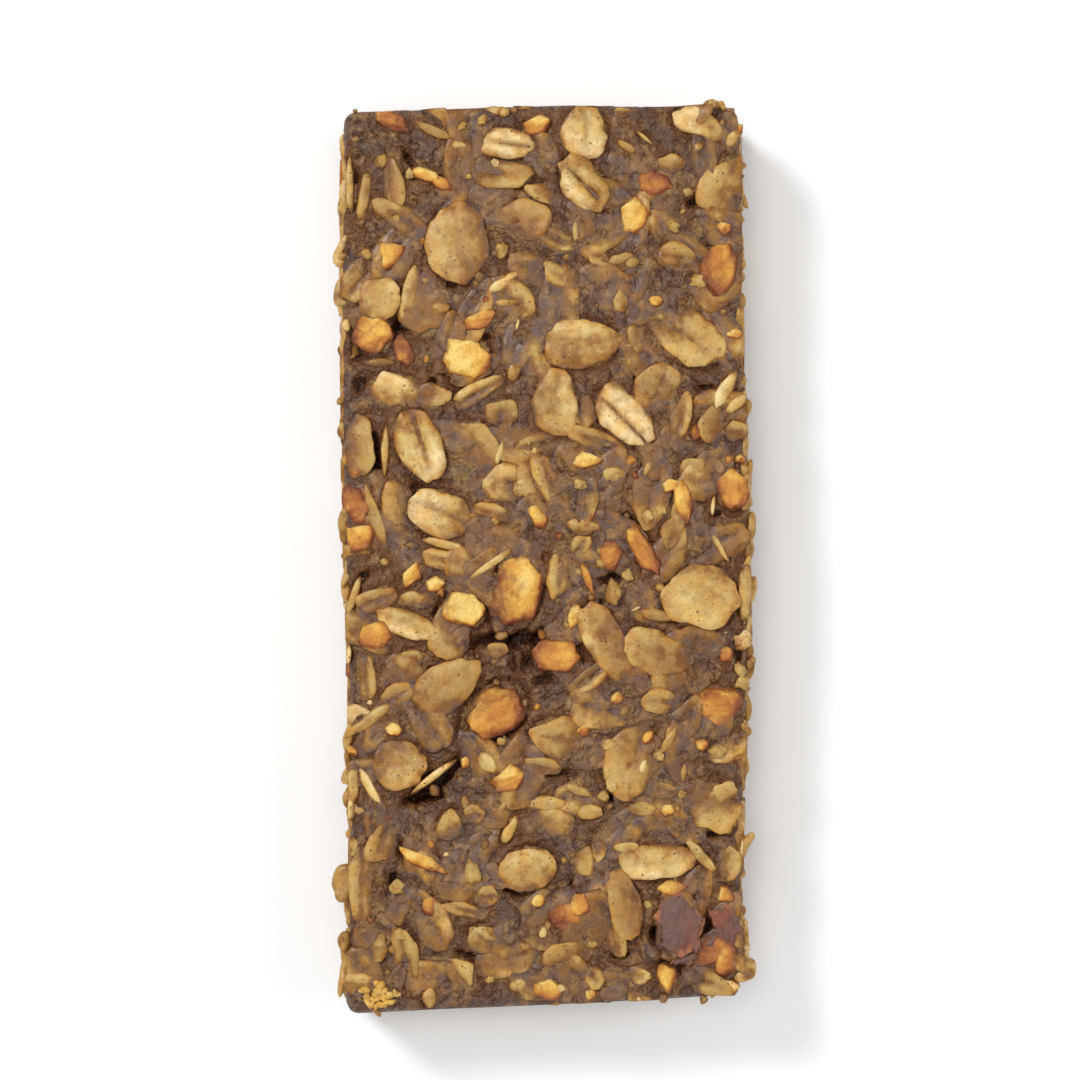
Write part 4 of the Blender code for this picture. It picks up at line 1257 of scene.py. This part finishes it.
draw = random.Random(19)
under_oats = new_food_mesh()
under_nuts = new_food_mesh()
for row in range(UNDER_ROWS):
    for column in range(UNDER_COLUMNS):
        x = UNDER_START[0] + (column + draw.uniform(0.0, 0.9)) * UNDER_PITCH
        y = UNDER_START[1] + (row + draw.uniform(0.0, 0.9)) * UNDER_PITCH
        room = float(inside_edge(x, y)) - UNDER_MARGIN
        if room < LEAST_ROOM:
            continue
        piece = new_food_mesh()
        oat = draw.random() < UNDER_OAT_SHARE
        thick, lengths, tones = UNDER_OAT if oat else UNDER_NUT
        length = min(2 * room, draw.uniform(*lengths))
        width = length * draw.uniform(0.5, 0.8)
        rise = UNDER_LEVEL + thick * draw.uniform(0.18, 0.42)
        tone = draw.choice(tones)
        turn = draw.uniform(0, 180)
        shape = (length, width, thick, turn, tone)
        level_flake(piece, draw, x, y, rise, *shape, UNDER_FILM, UNDER_TIP)
        step = (row * UNDER_COLUMNS + column) * GOLDEN_STEP % 1
        cut_foot(piece, UNDER_LEVEL + step * UNDER_SPREAD)
        add_into(under_oats if oat else under_nuts, piece)
finish_gathered("under_oats", under_oats, oat_skin)
finish_gathered("under_nuts", under_nuts, nut_flesh)

# --- The paste -------------------------------------------------------------------------------
# Dates, cocoa, seeds and syrup worked to a sticky paste that holds everything: pressed level,
# climbing a little at each piece, thin where it covers one, and open in gaps between some, with
# painted shade round the pieces and down in the gaps and pits.
PASTE_CELLS = (132, 294, 20)
BASE_LEVEL = 0.06
LEFT_CORNER_RADIUS = 1.4
RIGHT_CORNER_RADIUS = 3.0
HALF_WIDTH = 22.5
HALF_LENGTH = 50.0
CLIMB_REACH = 0.9
NEAR_PIECE = 2.0
RIM_BELOW = 0.15
STANDS_CLEAR = 0.2
MOAT_DEPTH = 0.34
MOAT_REACH = 0.4
RIM_OVERLAP = 0.3
INNER_PART = 0.92
SUNK_UNDER = 0.45
SHADE_REACH = 0.42
SHOWS_THROUGH = 0.22
FOOT_ROUND = 0.35
# Height, spacing and shift in the noise, for the lumps on the top and on the four sides
TOP_LUMPS = ((0.42, 2.6, 5), (0.22, 1.2, 15))
TOP_SINK = 0.13
TOP_GRAIN = (0.06, 0.6, 25)
SIDE_LUMPS = ((0.30, 3.0, 35), (0.16, 1.1, 45), (0.08, 0.6, 55))
PASTE_THIN = (0.285, 0.170, 0.062)
PASTE_SHREDS = (0.420, 0.270, 0.110)
# Painted shade, from warm brown round the pieces to nearly black down in the gaps: where each colour
# starts and is full, how much of it shows, and the colour
PASTE_SHADE_COLOURS = (
    (0.0, 0.36, 0.75, (0.160, 0.062, 0.017)),
    (0.26, 0.70, 1.0, (0.075, 0.021, 0.004)),
    (0.75, 1.05, 1.0, (0.022, 0.007, 0.002)),
)


def noise_field(points, spacing, shift):
    """Noise at many points at once, for features of about the spacing in millimetres."""
    scaled = points / spacing + np.array((shift, 0.0, 0.0))
    return np.array([noise.noise(point) for point in scaled.tolist()])


def held(value):
    """The value, held between 0 and 1."""
    return np.clip(value, 0, 1)


def beside(away, reach):
    """1 inside a piece and at its rim, fading within a reach outside it."""
    return np.exp(-(np.clip(away, 0, None) / reach) ** 2)


def oval(x, y, piece_x, piece_y, half_length, half_width, spin):
    """Distance from an oval piece's middle, as a share of its half size."""
    along, across = turned(0, 0, x - piece_x, y - piece_y, -spin)
    return np.hypot(along / half_length, across / half_width)


def paste_finish():
    """Tan where flakes lie just under it, with shreds and specks, and painted shade round the pieces,
    in the pits and down in the gaps, where it is nearly black.
    """
    finish = Finish("sticky_paste", 0.4, 0.22)
    look = paste_colour(finish)
    patch = finish.mottled((0.9, 3.0, 0.7, 12.0), 0.3, 0.7, -0.45, 0.25)
    covered = finish.remap(finish.sum(finish.painted("thin"), patch), 0.18, 0.62, 0.0, 0.9)
    look = finish.mix(covered, look, PASTE_THIN)
    dust = finish.mottled((4.0, 1.0, 0.5, 14.0), 0.40, 0.55, 0.2, 1.0)
    shreds = finish.product(dust, finish.mottled((0.55, 3.0, 0.7, 26.0), 0.60, 0.68))
    look = finish.mix(finish.product(shreds, 0.4), look, PASTE_SHREDS)
    look = finish.mix(finish.product(finish.specks(0.8, 0.2), dust), look, OAT_CREASE)
    ragged = finish.mottled((0.4, 3.0, 0.7, 27.0), 0.3, 0.7, -0.22, 0.22)
    # Painted shade: warm brown round the pieces, dark in the gaps and pits and nearly black at their bottom;
    # the ragged noise also spreads the warm brown in random patches
    depth = finish.sum(finish.painted("painted_shade"), ragged)
    for start, full, most, colour in PASTE_SHADE_COLOURS:
        look = finish.mix(finish.remap(depth, start, full, 0.0, most), look, colour)
    finish.colour(look)
    finish.roughness(finish.mottled((1.6, 3.0, 0.6, 16.0), 0.3, 0.7, 0.24, 0.56))
    small = finish.product(finish.lumps(*SMALL_LUMPS), 0.5)
    grit = finish.mottled((0.4, 4.0, 0.75, 28.0), 0.3, 0.7, 0.0, 0.05)
    finish.relief(finish.sum(finish.sum(finish.lumps(*LARGE_LUMPS), small), grit), 0.40)
    finish.shader.inputs["Coat Weight"].default_value = 0.10
    finish.shader.inputs["Coat Roughness"].default_value = 0.22
    return finish.material


# A block of even cells
mesh = bmesh.new()
bmesh.ops.create_cube(mesh, size=2.0)
for axis, cells in enumerate(PASTE_CELLS):
    rails = []
    for edge in mesh.edges:
        if abs(edge.verts[0].co[axis] - edge.verts[1].co[axis]) > 0.5:
            rails.append(edge)
    bmesh.ops.subdivide_edges(mesh, edges=rails, cuts=cells - 1, use_grid_fill=True)
paste_data = bpy.data.meshes.new("paste")
mesh.to_mesh(paste_data)
mesh.free()
cube = np.empty(len(paste_data.vertices) * 3, np.float32)
paste_data.vertices.foreach_get("co", cube)
cube = cube.reshape(-1, 3).astype(float)

# Its corners rounded, and its sides drawn out to the knife's cuts
x = cube[:, 0] * HALF_WIDTH
y = cube[:, 1] * HALF_LENGTH
share = (cube[:, 2] + 1) / 2
radius = np.where(x > 0, RIGHT_CORNER_RADIUS, LEFT_CORNER_RADIUS)
corner_x = np.abs(x) - (HALF_WIDTH - radius)
corner_y = np.abs(y) - (HALF_LENGTH - radius)
cornered = (corner_x > 0) & (corner_y > 0)
from_centre = np.maximum(np.hypot(corner_x, corner_y), 1e-9)
pull = np.where(cornered, np.maximum(corner_x, corner_y) / from_centre, 1.0)
x = np.where(cornered, np.copysign(HALF_WIDTH - radius + corner_x * pull, x), x)
y = np.where(cornered, np.copysign(HALF_LENGTH - radius + corner_y * pull, y), y)
wide = np.where(x > 0, edge_at(RIGHT_EDGE, y), edge_at(LEFT_EDGE, y))
wide = wide - LONG_SIDE_INSET - side_flare(share * SLAB_LEVEL)
long = np.where(y > 0, edge_at(FAR_EDGE, x), edge_at(NEAR_EDGE, x)) - END_INSET
inset = np.minimum((1 - np.abs(cube[:, 0])) * HALF_WIDTH, (1 - np.abs(cube[:, 1])) * HALF_LENGTH)
x = x * wide / HALF_WIDTH
y = y * long / HALF_LENGTH
on_top = share > 0.999
on_base = share < 0.001
on_side = inset < 0.01

# Its top: swells and lumps, a moat and a shade round what stands out, and the gaps
swell_at = np.stack((x, y, np.full_like(x, SWELL_SHIFT * SLAB_SWELL_SPACING)), 1)
level = SLAB_LEVEL + SLAB_SWELL * noise_field(swell_at, SLAB_SWELL_SPACING, 0)
level -= edge_drop(inset)
height = np.full_like(x, -0.03)
thin = np.zeros_like(x)
painted_shade = np.zeros_like(x)
flat = np.stack((x, y, np.zeros_like(x)), 1)
bumps = sum(tall * np.abs(noise_field(flat, *kind)) for tall, *kind in TOP_LUMPS) - TOP_SINK
bumps = bumps + TOP_GRAIN[0] * noise_field(flat, *TOP_GRAIN[1:])
for piece_x, piece_y, half_length, half_width, spin, lift, up_x, up_y, crisp in pressed_in:
    near = on_top & (np.hypot(x - piece_x, y - piece_y) < half_length + NEAR_PIECE)
    part = oval(x[near], y[near], piece_x, piece_y, half_length, half_width, spin)
    rise = lift + up_x * (x[near] - piece_x) + up_y * (y[near] - piece_y) - RIM_BELOW
    away = (part - 1) * half_width
    stands = held(rise / STANDS_CLEAR)
    bare = np.maximum(crisp, 0.75 * held((rise - 0.14) / 0.22))
    climb = np.clip(rise, 0, 0.5) * (0.85 - 0.6 * bare) * held(1 - away / CLIMB_REACH) ** 2 - 0.06
    height[near] = np.maximum(height[near], np.where(away > 0, climb, -1))
    moat = bare * MOAT_DEPTH * beside(away, MOAT_REACH) * stands
    height[near] -= np.where(away > -RIM_OVERLAP, moat, 0)
    cover = np.clip(0.1 - rise, 0, None)
    under = np.where(part < 1.0, np.exp(-cover / SHOWS_THROUGH) * held((1 - part) / 0.12), 0)
    thin[near] = np.maximum(thin[near], under)
    sunk = np.minimum(height[near], -SUNK_UNDER * stands)
    height[near] = np.where(part < INNER_PART, sunk, height[near])
    shade = beside(away, SHADE_REACH) * stands * (0.30 + 0.45 * bare)
    painted_shade[near] = np.maximum(painted_shade[near], np.where(away > -RIM_OVERLAP, shade, 0))
for gap_x, gap_y, length, width, turn, depth in GAPS:
    near = on_top & (np.hypot(x - gap_x, y - gap_y) < length)
    part = oval(x[near], y[near], gap_x, gap_y, length / 2, width / 2, math.radians(turn))
    part = 0.88 * part + 0.35 * bumps[near] / 0.16
    pit = 1 / (1 + np.clip(part, 0, None) ** 7)
    height[near] -= depth * pit
    painted_shade[near] = np.maximum(painted_shade[near], pit ** 1.5)
top = level + height + bumps

# Its sides and its foot: lumps and pits where crumbs came away, the pits darkened by painted shade
walls = np.stack((x, y, share * SLAB_LEVEL), 1)
wall_bumps = sum(tall * noise_field(walls, *kind) for tall, *kind in SIDE_LUMPS)
wall_pits = held(noise_field(walls, 2.2, 65) - 0.25)
base_pits = held(noise_field(flat, 2.6, 75) - 0.12)
out = wall_bumps - 1.6 * wall_pits
side_x = np.where(on_side & (np.abs(cube[:, 0]) > 0.999), np.sign(x), 0)
side_y = np.where(on_side & (np.abs(cube[:, 1]) > 0.999), np.sign(y), 0)
fade = held(np.minimum(share, 1 - share) / 0.06)
rim_x = np.where(cornered, 0.7, 1.0)
x = x + side_x * out * fade * rim_x
y = y + side_y * out * fade * rim_x
# Painted shade in the pits on the sides and on the foot
painted_shade = np.where(on_side & ~on_top, held(2.2 * wall_pits) * fade, painted_shade)
foot = BASE_LEVEL + 0.9 * base_pits * held(inset)
foot = foot + FOOT_ROUND * held(1 - inset / 0.5) ** 2
painted_shade = np.where(on_base, held(1.6 * base_pits), painted_shade)
rim_level = level + bumps * held(inset / 0.5)
upright = BASE_LEVEL + FOOT_ROUND + share * (rim_level - BASE_LEVEL - FOOT_ROUND)
z = np.where(on_top, np.where(on_side, rim_level, top), upright)
z = np.where(on_base, foot, z)
placed = np.stack((x, y, z), 1) * MM
paste_data.vertices.foreach_set("co", placed.astype(np.float32).ravel())
for name, amounts in (("thin", thin), ("painted_shade", painted_shade)):
    layer = paste_data.attributes.new(name, "FLOAT", "POINT")
    layer.data.foreach_set("value", amounts.astype(np.float32))
paste_data.update()
add_piece(paste_data, paste_finish())
